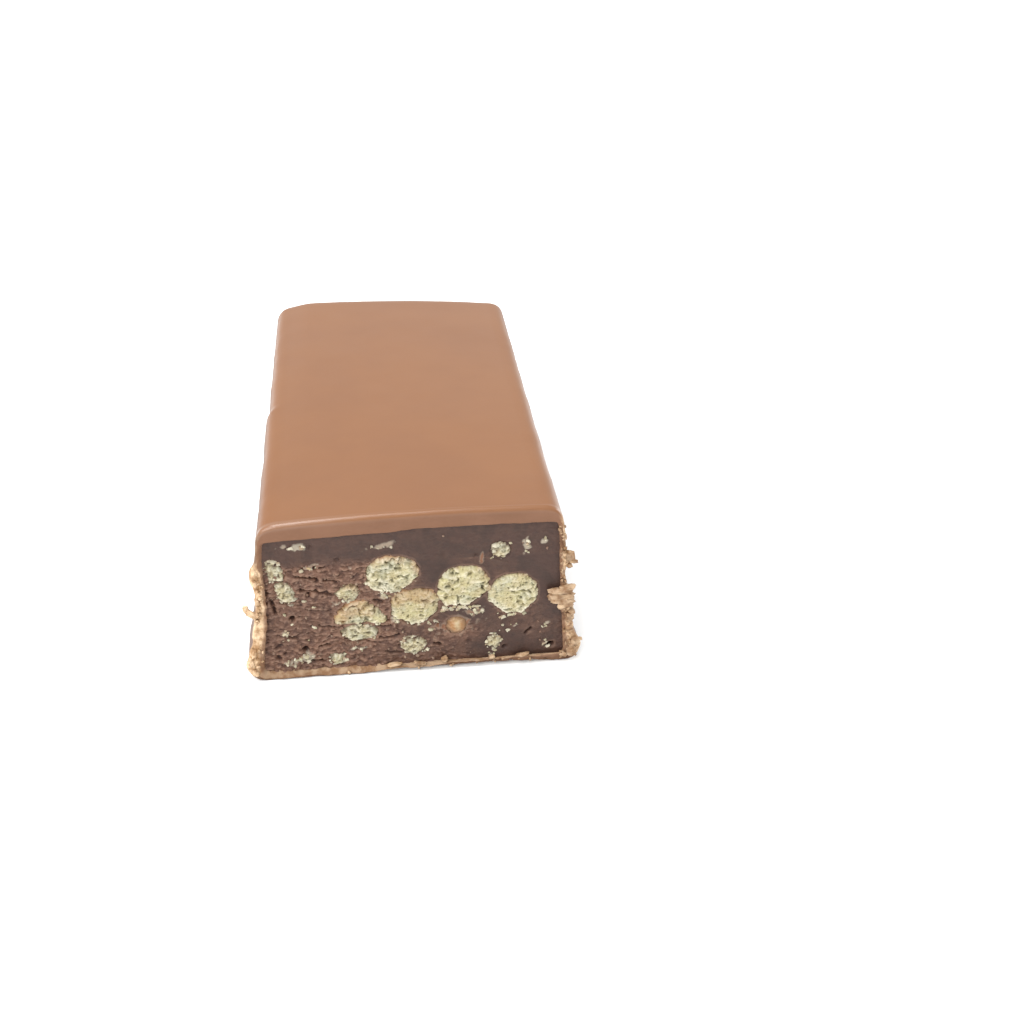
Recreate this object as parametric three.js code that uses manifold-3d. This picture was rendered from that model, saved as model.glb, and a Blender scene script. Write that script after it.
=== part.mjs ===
// Half of a chocolate coated snack bar, cut across: a dark chewy filling with puffed crisps in it, inside a
// shell of milk chocolate that is thick on top and thin on the sides, the base and the far end.
// The half lies on its base. Its cut face looks towards -Y and its far end towards +Y.
// Units are millimetres, +Z is up, and the origin is on the table under the middle of the bar.
import * as THREE from "three";
import { mergeVertices } from "three/addons/utils/BufferGeometryUtils.js";
import Module from "manifold-3d";

const wasm = await Module();
wasm.setup();

// The whole half.
const LENGTH = 54;
const HEIGHT = 18.1; // at the shoulders; the crown rises above it
const CROWN = 0.5;
const TILT = 0.02; // how much higher the top is at the cut for each millimetre to the right
const FAR_TILT = -0.03; // the same at the far end, because the top twists a little along its length
const FAR_DROOP = 0.5; // how much the left shoulder hangs at the far end
const BASE_HALF_WIDTH = 16.3; // of the straight wall carried down to the table
const DRAFT = 0.095; // how much the wall leans in for each millimetre of height
const END_RADIUS = 1.7; // the rounded edge all round the far end
const CORNER_ROUNDING = 0.2; // share of that radius at the upright corners
const BASE_ROUNDING = 0.5; // share of that radius where the far end meets the table
const END_BULGE = 0.3;

// The coating.
const TOP_THICKNESS = 1.8;
const FLOOR_THICKNESS = 0.8;
const WALL_BASE_HALF_WIDTH = 15.2; // of the cavity
const WALL_DRAFT = 0.065;
const END_THICKNESS = 1.1;
const LEFT_SHOULDER_RADIUS = 2;
const RIGHT_SHOULDER_RADIUS = 1.8;
const FOOT_RADIUS = 1.5;
const FOOT_SPREAD = 0.55; // the skirt of chocolate that ran down and set on the table
const FOOT_HEIGHT = 1.6;
const UNDERSIDE_RISE = 0.3; // at the cut, where the base curls a little off the table
const DIMPLE_DEPTH = 0.16;
const DIMPLE_SPACING = 3.2;
const SWELL = 0.12; // the slow wave of the long walls
const SWELL_SPACING = 15;
const STEP = 0.28; // the left wall steps in by this much, halfway along
const STEP_AT = 24.8;
const ROOF_STEP = 0.25; // the top coat is thinner by this much right of the middle
const LIP_RADIUS = 0.55; // the smooth top edge at the cut
const CRUMBLE = 0.4; // how far the broken rim stands out of the cut

// The filling.
const GAP = 0.3; // between pieces that touch
const FACE_RECESS = 0.3;
const FACE_RELIEF = 0.22;
const INNER_RADIUS = 0.8;

// How many steps each stretch of a section has: a corner, then the base, a wall and the top.
const CORNER_STEPS = 4;
const STRAIGHT_STEPS = [18, 8, 14, 8];
const RING_SPACING = 2.6;
const FACE_RINGS = 10;

// The crisps that the knife opened, as seen on the cut face: where the middle is, the half-width and the
// half-height, and how far the ball is turned in the face.
const CRISPS = [
  { name: "crisp_high_middle", x: -2.05, z: 11.6, wide: 2.45, high: 2.0, turn: -4 },
  { name: "crisp_right_middle", x: 4.9, z: 9.6, wide: 2.4, high: 2.5, turn: 20 },
  { name: "crisp_far_right", x: 9.95, z: 8.45, wide: 2.45, high: 2.45, turn: 0 },
  { name: "crisp_centre", x: 0.0, z: 7.45, wide: 2.15, high: 1.95, turn: 10 },
  { name: "crisp_split", x: -5.35, z: 6.3, wide: 2.2, high: 2.35, turn: -18 },
  { name: "crisp_upper_left_piece", x: -6.5, z: 9.85, wide: 1.2, high: 0.95, turn: 35 },
  { name: "crisp_left_edge", x: -12.5, z: 9.95, wide: 1.0, high: 1.4, turn: 10 },
  { name: "crisp_under_wall", x: -13.05, z: 12.75, wide: 0.6, high: 1.05, turn: 8 },
  { name: "crisp_high_right", x: 8.6, z: 13.7, wide: 1.0, high: 0.95, turn: 0 },
  { name: "crisp_toasted", x: 4.15, z: 4.95, wide: 1.15, high: 1.0, turn: 0 },
  { name: "crisp_low_middle", x: 0.15, z: 2.85, wide: 1.15, high: 1.2, turn: -20 },
  { name: "crisp_low_right", x: 7.95, z: 2.8, wide: 0.85, high: 1.1, turn: -12 },
  { name: "crisp_low_left", x: -7.85, z: 2.25, wide: 0.95, high: 0.8, turn: 0 },
];
const LARGE_CRISP = 1.8; // half-width from which a crisp gets the finer mesh
const CRISP_SETBACK = 0.15; // the middle of the ball lies this share of its radius behind the knife's plane
const CRISP_PORES = 0.18; // how far the cut disc goes in and out
const CRISP_LUMPS = 0.07; // how uneven the ball is, as a share of its size
const SOCKET_MOUTH = 1; // how far a socket reaches out past the cut

// Flakes of coating that the knife broke loose at the rim: the middle, the half-sizes along X, Y and Z,
// and the turn in the face. A flake's Y is measured from the cut.
const FLAKES = [
  { x: -15.25, y: 0.1, z: 12.6, size: [0.5, 0.5, 1.35], turn: 6 },
  { x: -15.95, y: 0.05, z: 8.75, size: [1.05, 0.35, 0.36], turn: -48 },
  { x: -16.25, y: 0.1, z: 2.2, size: [0.65, 0.5, 1.5], turn: 0 },
  { x: 15.3, y: 0.1, z: 12.75, size: [0.62, 0.45, 0.5], turn: 0 },
  { x: 15.55, y: 0.05, z: 11.9, size: [0.75, 0.3, 0.26], turn: -4 },
  { x: 14.85, y: -0.25, z: 8.05, size: [1.3, 0.42, 1.3], turn: -6 },
  { x: 15.6, y: 0.1, z: 6.0, size: [0.5, 0.45, 0.9], turn: 8 },
  { x: 16.15, y: 0.05, z: 3.25, size: [0.85, 0.3, 0.36], turn: -6 },
  { x: 15.75, y: 0.1, z: 1.5, size: [0.85, 0.5, 1.25], turn: 0 },
  { x: 2.9, y: 0.05, z: 1.2, size: [0.55, 0.4, 0.5], turn: 30 },
  { x: -2.2, y: 0.05, z: 0.85, size: [1.3, 0.4, 0.36], turn: 4 },
];
const FLAKE_ROUGHNESS = 0.3;

// Bubbles that burst in the right wall while the coating set: the middle of each and its half-sizes.
const BUBBLES = [
  { y: 14.5, z: 15.2, size: [0.5, 1.25, 0.5] },
  { y: 23.5, z: 14.8, size: [0.3, 0.3, 0.3] },
];

const { lerp, smoothstep, degToRad } = THREE.MathUtils;

// A random number from -1 to 1 that belongs to one point of a lattice.
function lattice(i, j, k) {
  const s = Math.sin(i * 127.1 + j * 311.7 + k * 74.7) * 43758.5453;
  return 2 * (s - Math.floor(s)) - 1;
}

// Smooth noise from -1 to 1, blended between the lattice points around (x, y, z).
function noise(x, y, z) {
  const [i, j, k] = [x, y, z].map(Math.floor);
  const [u, v, w] = [x - i, y - j, z - k].map((t) => t * t * (3 - 2 * t));
  const edge = (b, c) => lerp(lattice(i, j + b, k + c), lattice(i + 1, j + b, k + c), u);
  return lerp(lerp(edge(0, 0), edge(1, 0), v), lerp(edge(0, 1), edge(1, 1), v), w);
}

// A closed loop of points (x, z) through a trapezium's rounded corners, anticlockwise from the left foot.
function trapezium({ low, high, halfWidthAt, footRadius, rightTopRadius, leftTopRadius }) {
  const corners = [
    { at: new THREE.Vector2(-halfWidthAt(low), low), radius: footRadius },
    { at: new THREE.Vector2(halfWidthAt(low), low), radius: footRadius },
    { at: new THREE.Vector2(halfWidthAt(high), high), radius: rightTopRadius },
    { at: new THREE.Vector2(-halfWidthAt(high), high), radius: leftTopRadius },
  ];
  const rounded = corners.map(({ at, radius }, i) => {
    const towards = (other) => other.at.clone().sub(at).setLength(radius).add(at);
    const after = corners[(i + 1) % corners.length];
    return new THREE.QuadraticBezierCurve(towards(corners.at(i - 1)), at, towards(after));
  });
  return rounded.flatMap((corner, i) => {
    const next = rounded[(i + 1) % rounded.length];
    const straight = new THREE.LineCurve(corner.getPoint(1), next.getPoint(0));
    return [
      ...corner.getPoints(CORNER_STEPS).slice(0, -1),
      ...straight.getPoints(STRAIGHT_STEPS[i]).slice(0, -1),
    ];
  });
}

const outerHalfWidth = (z) => BASE_HALF_WIDTH - DRAFT * z;
const cavityHalfWidth = (z) => WALL_BASE_HALF_WIDTH - WALL_DRAFT * z;

// How much the crown and the tilt lift a point, most at the top and nothing at the base, and how much the
// left shoulder hangs. The tilt turns over from the cut to the far end.
function crownAt(x, z, y) {
  const far = y / LENGTH;
  const arch = CROWN * (1 - (x / outerHalfWidth(HEIGHT)) ** 2);
  const droop = FAR_DROOP * smoothstep(-x, 10, 13.5) * far ** 2;
  return (arch + lerp(TILT, FAR_TILT, far) * x - droop) * (z / HEIGHT) ** 4;
}

const outerLoop = trapezium({
  low: 0,
  high: HEIGHT,
  halfWidthAt: outerHalfWidth,
  footRadius: FOOT_RADIUS,
  rightTopRadius: RIGHT_SHOULDER_RADIUS,
  leftTopRadius: LEFT_SHOULDER_RADIUS,
});
const cavityLoop = trapezium({
  low: FLOOR_THICKNESS,
  high: HEIGHT - TOP_THICKNESS,
  halfWidthAt: cavityHalfWidth,
  footRadius: INNER_RADIUS,
  rightTopRadius: INNER_RADIUS,
  leftTopRadius: INNER_RADIUS,
});
const fillingLoop = trapezium({
  low: FLOOR_THICKNESS + GAP,
  high: HEIGHT - TOP_THICKNESS - GAP,
  halfWidthAt: (z) => cavityHalfWidth(z) - GAP,
  footRadius: INNER_RADIUS,
  rightTopRadius: INNER_RADIUS,
  leftTopRadius: INNER_RADIUS,
});

// How far the foot of the coating spreads at height z.
const footAt = (z) => FOOT_SPREAD * Math.exp(-(((z - FOOT_HEIGHT) / FOOT_HEIGHT) ** 2));

// A point of the coating's outside: the plain section, crowned, spread at the foot, dimpled and swelling on
// the walls, with the base lifted a little off the table near the cut.
function skinPoint({ x, y: z }, y) {
  const side = Math.sign(x);
  const onWall = smoothstep(Math.abs(x), 12.5, 14.5);
  const faded = 1 - 0.7 * smoothstep(z, 12.5, 15.5);
  const dimple = faded * DIMPLE_DEPTH * noise(y / DIMPLE_SPACING, z / DIMPLE_SPACING, 9 * side);
  const swell = SWELL * noise(y / SWELL_SPACING, 0.5, 5 * side);
  const step = side < 0 ? STEP * smoothstep(y, STEP_AT - 0.6, STEP_AT + 0.9) : 0;
  const onBase = 1 - smoothstep(z, 0.05, 0.3);
  const curled = smoothstep(x, -6, -2) * (1 - smoothstep(x, 11.5, 14)) * (1 - smoothstep(y, 0, 2.5));
  return new THREE.Vector3(
    x + side * onWall * (footAt(z) + dimple + swell - step),
    y,
    z + crownAt(x, z, y) + onBase * curled * UNDERSIDE_RISE,
  );
}

// A point of a plain inner section, under the same crown, and under the thinner stretch of the top coat.
function innerPoint({ x, y: z }, y) {
  const thinner = ROOF_STEP * smoothstep(x, -3, 1) * (z / (HEIGHT - TOP_THICKNESS)) ** 4;
  return new THREE.Vector3(x, y, z + crownAt(x, z, y) + thinner);
}

// Rings that close a section over a rounded end face, from near the face's middle out to the full section.
// The edge is rounded less at the base and at the upright corners than at the top.
function roundedEnd(ringAt, face, radius, bulge) {
  const middle = HEIGHT / 2;
  const shrink = (ring, inset, share, y) =>
    ring.map(({ x, z }) => {
      const insetHere = z < middle ? inset * BASE_ROUNDING : inset;
      const wide = share * (1 - (inset * CORNER_ROUNDING) / BASE_HALF_WIDTH);
      const high = share * (1 - insetHere / middle);
      return new THREE.Vector3(x * wide, y, middle + (z - middle) * high);
    });
  const flat = [0.3, 0.6, 0.85].map((share) =>
    shrink(ringAt(face), radius, share, face + bulge * (1 - share ** 2)),
  );
  const round = [80, 50, 20].map((degrees) => {
    const angle = degToRad(degrees);
    const y = face - radius * (1 - Math.sin(angle));
    return shrink(ringAt(y), radius * (1 - Math.cos(angle)), 1, y);
  });
  return [...flat, ...round];
}

// A closed surface through rings of equal length, with one point at each end.
function closedSkin(first, rings, last) {
  const count = rings[0].length;
  const points = [first, ...rings.flat(), last];
  const index = [];
  const at = (ring, i) => 1 + ring * count + (i % count);
  const end = points.length - 1;
  for (let i = 0; i < count; i++) {
    index.push(0, at(0, i + 1), at(0, i));
    for (let ring = 0; ring + 1 < rings.length; ring++) {
      const [a, b] = [at(ring, i), at(ring, i + 1)];
      const [c, d] = [at(ring + 1, i), at(ring + 1, i + 1)];
      index.push(a, b, d, a, d, c);
    }
    index.push(end, at(rings.length - 1, i), at(rings.length - 1, i + 1));
  }
  const geometry = new THREE.BufferGeometry().setFromPoints(points);
  return geometry.setIndex(index);
}

// three.js geometry as a manifold-3d solid, and back.
function solidFrom(geometry) {
  const bare = geometry.clone();
  bare.deleteAttribute("normal");
  bare.deleteAttribute("uv");
  const merged = mergeVertices(bare, 1e-4);
  return new wasm.Manifold(
    new wasm.Mesh({
      numProp: 3,
      vertProperties: new Float32Array(merged.attributes.position.array),
      triVerts: new Uint32Array(merged.index.array),
    }),
  );
}
function geometryFrom(solid) {
  const { vertProperties, triVerts } = solid.getMesh();
  const geometry = new THREE.BufferGeometry();
  geometry.setAttribute("position", new THREE.BufferAttribute(vertProperties, 3));
  geometry.setIndex(new THREE.BufferAttribute(triVerts, 1));
  return geometry;
}

// A rough lump of broken coating: a small ball with its points pushed in and out, stretched and turned.
function flake({ x, y, z, size, turn }) {
  const lump = mergeVertices(stripped(new THREE.IcosahedronGeometry(1, 1)), 1e-4);
  const position = lump.attributes.position;
  const p = new THREE.Vector3();
  for (let i = 0; i < position.count; i++) {
    p.fromBufferAttribute(position, i);
    p.multiplyScalar(1 + FLAKE_ROUGHNESS * noise(3 * p.x + x, 3 * p.y + y, 3 * p.z + z));
    position.setXYZ(i, p.x, p.y, p.z);
  }
  return lump.scale(...size).rotateY(-degToRad(turn)).translate(x, y, z);
}
function stripped(geometry) {
  geometry.deleteAttribute("normal");
  geometry.deleteAttribute("uv");
  return geometry;
}

// The shell of chocolate, as one skin: from the middle of the far end over the outside to the cut, across the
// broken rim, and back along the cavity.
function coating() {
  const skinRing = (y) => outerLoop.map((p) => skinPoint(p, y));
  const cavityRing = (y) => cavityLoop.map((p) => innerPoint(p, y));
  const straight = LENGTH - END_RADIUS - LIP_RADIUS;
  const steps = Math.round(straight / RING_SPACING);
  const outside = Array.from({ length: steps + 1 }, (_, i) =>
    skinRing(LENGTH - END_RADIUS - (straight * i) / steps),
  );

  // The rim: the top is a smooth lip, and the walls and the base are crumbled and flare a little.
  const rim = [0.2, 0.6].map((share) =>
    outerLoop.map((p, i) => {
      const out = skinPoint(p, 0);
      const inside = innerPoint(cavityLoop[i], 0);
      const onTop = smoothstep(out.z, HEIGHT - 1.6, HEIGHT - 0.4);
      const broken = noise(0.9 * out.x, 5 * share, 0.9 * out.z);
      const lip = lerp(out.z, inside.z, share * 0.55);
      out.lerp(inside, share * lerp(0.7, 1, onTop));
      out.z = lerp(out.z, lip, onTop);
      out.y = lerp(-CRUMBLE * (0.5 + 0.5 * broken), LIP_RADIUS * 0.25 * (0.6 - share), onTop);
      return out;
    }),
  );
  const inside = [0, 2, LENGTH / 2, LENGTH - END_THICKNESS - INNER_RADIUS].map(cavityRing);
  const back = roundedEnd(cavityRing, LENGTH - END_THICKNESS, INNER_RADIUS, 0).reverse();

  // The far end has the same foot as the walls.
  const far = roundedEnd(skinRing, LENGTH, END_RADIUS, END_BULGE).map((ring) =>
    ring.map((p) => p.setY(p.y + footAt(p.z) * smoothstep(p.y, LENGTH - END_RADIUS, LENGTH))),
  );
  const shell = closedSkin(
    new THREE.Vector3(0, LENGTH + END_BULGE, HEIGHT / 2),
    [...far, ...outside, ...rim, ...inside, ...back],
    new THREE.Vector3(0, LENGTH - END_THICKNESS, HEIGHT / 2),
  );
  const room = solidFrom(plug(cavityLoop, GAP));
  const flaked = FLAKES.reduce(
    (whole, spec) => whole.add(solidFrom(flake(spec)).subtract(room)),
    solidFrom(shell),
  );
  const pitted = BUBBLES.reduce(
    (whole, spec) => whole.subtract(solidFrom(bubble(spec))),
    flaked,
  );
  return largestBody(pitted);
}

// A bubble is an oval ball whose middle lies in the right wall's outside.
function bubble({ y, z, size }) {
  const x = skinPoint({ x: outerHalfWidth(z), y: z }, y).x;
  return new THREE.IcosahedronGeometry(1, 2).scale(...size).translate(x, y, z);
}

// The room around the filling can leave a loose sliver of a flake, which falls away.
function largestBody(solid) {
  return solid.decompose().reduce((a, b) => (a.volume() > b.volume() ? a : b));
}

// A plug that runs the whole length of the shell, with its cut face torn in low waves and set a little behind
// the rim. With the filling's section it is the filling; with the cavity's section and its face moved
// forward, it is the room that flakes keep clear of.
function plug(loop, forward = 0) {
  const ring = (y) => loop.map((p) => innerPoint(p, y));
  const middle = new THREE.Vector3(0, 0, HEIGHT / 2);
  const faceY = (x, z) => {
    const tear = noise(x / 2.6, z / 0.9, 1) + 0.5 * noise(x / 0.9, z / 0.7, 2);
    const rough = lerp(1, 0.35, smoothstep(x + 0.5 * z, -2, 8));
    return FACE_RECESS + FACE_RELIEF * rough * tear - forward;
  };
  const face = Array.from({ length: FACE_RINGS }, (_, i) => {
    const share = (FACE_RINGS - i) / FACE_RINGS;
    return ring(0).map((p) => {
      const q = p.clone().sub(middle).multiplyScalar(share).add(middle);
      return q.setY(faceY(q.x, q.z));
    });
  });
  const end = LENGTH - END_THICKNESS - GAP;
  const along = [end - INNER_RADIUS, LENGTH / 2, 1.5].map(ring);
  return closedSkin(
    middle.clone().setY(end),
    [...roundedEnd(ring, end, INNER_RADIUS, 0), ...along, ...face],
    middle.clone().setY(faceY(middle.x, middle.z)),
  );
}

// A puffed crisp that the knife went through: a porous disc in the cut, and behind it the rest of the ball.
// With a margin, it is the socket that the crisp sits in, which opens through the face of the filling.
function crisp({ x, z, wide, high, turn }, margin = 0) {
  const deep = (wide + high) / 2;
  const setback = CRISP_SETBACK * deep;
  const around = wide > LARGE_CRISP ? 16 : 10;
  const seed = 13 * x + 7 * z;
  const inDisc = [0.4, 0.75, Math.sqrt(1 - CRISP_SETBACK ** 2)].map((out) => ({ out, back: 0 }));
  const inBall = [15, 40, 65].map(degToRad).map((angle) => ({
    out: Math.cos(angle),
    back: setback + (deep + margin) * Math.sin(angle),
  }));
  const ring = ({ out, back }) =>
    Array.from({ length: around }, (_, i) => {
      const spin = (-2 * Math.PI * i) / around;
      const lump = 1 + CRISP_LUMPS * noise(Math.cos(spin) + seed, back, Math.sin(spin));
      const across = (wide * lump + margin) * out * Math.cos(spin);
      const up = (high * lump + margin) * out * Math.sin(spin);
      return new THREE.Vector3(across, back || frontAt(across, up), up);
    });
  const frontAt = (across, up) =>
    margin ? -SOCKET_MOUTH : CRISP_PORES * noise(1.6 * across + seed, 0, 1.6 * up);
  return closedSkin(
    new THREE.Vector3(0, frontAt(0, 0), 0),
    [...inDisc, ...inBall].map(ring),
    new THREE.Vector3(0, setback + deep + margin, 0),
  )
    .rotateY(-degToRad(turn))
    .translate(x, 0, z);
}

const milkChocolate = new THREE.MeshStandardMaterial({ color: 0xb28669, roughness: 0.42, metalness: 0 });
const darkFilling = new THREE.MeshStandardMaterial({ color: 0x6a4f48, roughness: 0.7, metalness: 0 });
const puffedCrisp = new THREE.MeshStandardMaterial({ color: 0xd7cca5, roughness: 0.85, metalness: 0 });
const toastedCrisp = new THREE.MeshStandardMaterial({ color: 0xb0814a, roughness: 0.6, metalness: 0 });

function named(name, geometry, material) {
  const mesh = new THREE.Mesh(geometry, material);
  mesh.name = name;
  return mesh;
}

const bar = new THREE.Group();
bar.add(named("coating", geometryFrom(coating()), milkChocolate));

const sockets = CRISPS.map((spec) => solidFrom(crisp(spec, GAP)));
const core = sockets.reduce((whole, socket) => whole.subtract(socket), solidFrom(plug(fillingLoop)));
bar.add(named("filling", geometryFrom(core), darkFilling));

for (const spec of CRISPS) {
  const material = spec.name === "crisp_toasted" ? toastedCrisp : puffedCrisp;
  bar.add(named(spec.name, crisp(spec), material));
}

bar.position.y = -LENGTH / 2;
bar.updateMatrixWorld(true);

export default bar;
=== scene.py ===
# %% [markdown]
# This lesson dresses half of a chocolate coated snack bar. The solids that carry its weight and its contacts
# are already packed, so the script loads them as a fixed frame and then makes finer surfaces in their place:
# a coating with a broken rim, a torn filling, and puffed crisps that the knife has opened.
# Shapes are worked out in millimetres, with the cut face at y = 0 and the far end at y = 54, and are turned
# into metres, with the origin under the middle of the bar, when they become meshes.

# %% Load the frame
import math
from collections import namedtuple

import bpy
import numpy as np
from mathutils import Matrix, Vector


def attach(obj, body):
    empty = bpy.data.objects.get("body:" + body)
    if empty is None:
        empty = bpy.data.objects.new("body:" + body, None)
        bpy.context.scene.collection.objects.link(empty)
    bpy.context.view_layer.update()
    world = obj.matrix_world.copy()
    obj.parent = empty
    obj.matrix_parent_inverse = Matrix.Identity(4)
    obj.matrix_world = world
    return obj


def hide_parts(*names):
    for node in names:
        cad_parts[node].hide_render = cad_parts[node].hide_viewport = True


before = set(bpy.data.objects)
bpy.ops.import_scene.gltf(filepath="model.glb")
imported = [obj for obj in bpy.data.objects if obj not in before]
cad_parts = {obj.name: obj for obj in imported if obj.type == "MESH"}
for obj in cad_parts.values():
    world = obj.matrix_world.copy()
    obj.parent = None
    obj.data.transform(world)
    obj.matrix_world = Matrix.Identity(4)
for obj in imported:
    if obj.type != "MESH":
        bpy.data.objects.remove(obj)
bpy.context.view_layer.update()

# %% [markdown]
# The bar is described by a few sizes, which are those of the solids, but for the floor, which is drawn a
# little thinner. The walls lean in, the top is slightly crowned and twists a little along its length, and the
# foot spreads where the melted chocolate ran down and set. The tilts and drafts are slopes, and the two
# roundings are shares of the end's radius.

# %% Sizes of the bar, in millimetres
LENGTH = 54.0
HEIGHT = 18.1
CROWN = 0.5
TILT = 0.02
FAR_TILT = -0.03
FAR_DROOP = 0.5
BASE_HALF_WIDTH = 16.3
DRAFT = 0.095
END_RADIUS = 1.7
CORNER_ROUNDING = 0.2
BASE_ROUNDING = 0.5
END_BULGE = 0.3
TOP_THICKNESS = 1.8
FLOOR_THICKNESS = 0.65
END_THICKNESS = 1.1
WALL_BASE_HALF_WIDTH = 15.2
WALL_DRAFT = 0.065
LEFT_SHOULDER = 2.0
RIGHT_SHOULDER = 1.8
FOOT_RADIUS = 1.5
FOOT_SPREAD = 0.55
FOOT_HEIGHT = 1.6
INNER_RADIUS = 0.8
UNDERSIDE_RISE = 0.3
DIMPLE_DEPTH = 0.16
DIMPLE_SPACING = 3.2
SWELL = 0.12
SWELL_SPACING = 15.0
STEP = 0.28
STEP_AT = 24.8
ROOF_STEP = 0.25
FACE_RECESS = 0.3
MM = 0.001

print(f"half bar: {LENGTH} long, {2 * BASE_HALF_WIDTH} wide, {HEIGHT + CROWN} high (mm)")

# %% [markdown]
# Food has no straight edges, so nearly every surface here is moved by noise. Blender has noise textures, but
# a displacement that ends up in the mesh is easier to steer as numpy arrays: one call moves every vertex at
# once, and a seed in the third coordinate gives each piece its own pattern. Foam and grains are drawn by
# cells, the pattern of distances to scattered points.

# %% Noise as whole arrays
CELL_SCATTER = 0.42  # how far the point of a cell may lie from its middle


def smooth(value, low, high):
    """0 below low, 1 above high, and 3t^2 - 2t^3 of the share t between them."""
    t = np.clip((value - low) / (high - low), 0, 1)
    return t * t * (3 - 2 * t)


def lattice(i, j, k):
    """A random number from -1 to 1 for each lattice point: the fraction of a large sine."""
    s = np.sin(i * 127.1 + j * 311.7 + k * 74.7) * 43758.5453
    return 2 * (s - np.floor(s)) - 1


def noise(x, y, z):
    """The eight lattice numbers around a point, blended along each axis by 3t^2 - 2t^3."""
    x, y, z = np.broadcast_arrays(x, y, z)
    i, j, k = np.floor(x), np.floor(y), np.floor(z)
    u, v, w = (t * t * (3 - 2 * t) for t in (x - i, y - j, z - k))

    def edge(b, c):
        return lattice(i, j + b, k + c) * (1 - u) + lattice(i + 1, j + b, k + c) * u

    near = edge(0, 0) * (1 - v) + edge(1, 0) * v
    far = edge(0, 1) * (1 - v) + edge(1, 1) * v
    return near * (1 - w) + far * w


def ragged(x, y, z, octaves=4):
    """Noise plus half as much at twice the scale, and so on, divided by the sum of the shares."""
    total, share = 0.0, 0.0
    for octave in range(octaves):
        f = 2.0 ** octave
        total = total + noise(x * f + 3.7 * octave, y * f, z * f + 1.9 * octave) / f
        share += 1 / f
    return total / share


def cells(x, z, size, seed):
    """Distance to the nearest of one random point per square cell, as a share of the cell, and the random
    number of that point."""
    p, q = np.broadcast_arrays(x / size, z / size)
    i, j = np.floor(p), np.floor(q)
    nearest = np.full(p.shape, 9.0)
    owner = np.zeros(p.shape)
    for di in (-1, 0, 1):
        for dj in (-1, 0, 1):
            a, b = i + di, j + dj
            away = np.hypot(
                p - a - 0.5 - CELL_SCATTER * lattice(a, b, seed),
                q - b - 0.5 - CELL_SCATTER * lattice(a, b, seed + 31),
            )
            nearer = away < nearest
            owner = np.where(nearer, lattice(a, b, seed + 57), owner)
            nearest = np.where(nearer, away, nearest)
    return nearest, owner


def hump(value, middle, reach, power=2):
    """1 at the middle, falling off like e to the minus (distance / reach) to a power; 4 gives a flat top."""
    return np.exp(-(np.abs((value - middle) / reach) ** power))


print("noise runs from", round(float(noise(np.arange(99) / 7, 0, 0).min()), 2), "to",
      round(float(noise(np.arange(99) / 7, 0, 0).max()), 2))

# %% [markdown]
# A mesh is made straight from arrays of points and faces. Values that a material needs, such as how much of a
# point belongs to the broken rim, are stored as named attributes on the points. Rings of points are joined
# into one closed skin, with a single point at each end, just as the solids were made.

# %% From arrays to meshes
def make_piece(name, points, faces, masks=None):
    """Points in millimetres from the cut become a mesh in metres. faces is a list of index arrays, each
    with one face per row."""
    mesh = bpy.data.meshes.new(name)
    placed = (np.asarray(points) - (0, LENGTH / 2, 0)) * MM
    mesh.vertices.add(len(placed))
    mesh.vertices.foreach_set("co", placed.astype(np.float32).ravel())
    sizes = np.concatenate([np.full(len(f), f.shape[1]) for f in faces])
    corners = np.concatenate([f.ravel() for f in faces]).astype(np.int32)
    mesh.loops.add(len(corners))
    mesh.loops.foreach_set("vertex_index", corners)
    mesh.polygons.add(len(sizes))
    mesh.polygons.foreach_set("loop_start", (np.cumsum(sizes) - sizes).astype(np.int32))
    mesh.polygons.foreach_set("use_smooth", np.ones(len(sizes), bool))
    mesh.update(calc_edges=True)
    for mask, values in (masks or {}).items():
        layer = mesh.attributes.new(mask, "FLOAT", "POINT")
        layer.data.foreach_set("value", np.asarray(values, np.float32).ravel())
    piece = bpy.data.objects.new(name, mesh)
    bpy.context.scene.collection.objects.link(piece)
    triangles = int((sizes - 2).sum())
    print(f"{name}: {len(placed)} points, {triangles} triangles")
    return piece


def ring_faces(rings, count, start=0):
    """Quads between neighbouring rings of count points, wound so that rings that come nearer face out."""
    ring = np.arange(rings - 1)[:, None] * count + start
    here = np.arange(count)[None, :]
    there = (here + 1) % count
    quads = [ring + here, ring + there, ring + count + there, ring + count + here]
    return np.stack(np.broadcast_arrays(*quads), axis=-1).reshape(-1, 4)


def closed_skin(first, rings, last):
    """Points and faces of a skin through rings of shape (rings, count, 3), with one point at each end."""
    rows, count, _ = rings.shape
    points = np.concatenate([[first], rings.reshape(-1, 3), [last]])
    here = np.arange(count)
    there = (here + 1) % count
    end = len(points) - 1
    low = 1 + (rows - 1) * count
    start_fan = np.stack([np.zeros(count, int), 1 + there, 1 + here], axis=-1)
    end_fan = np.stack([np.full(count, end), low + here, low + there], axis=-1)
    return points, [ring_faces(rows, count, 1), start_fan, end_fan]


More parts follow.
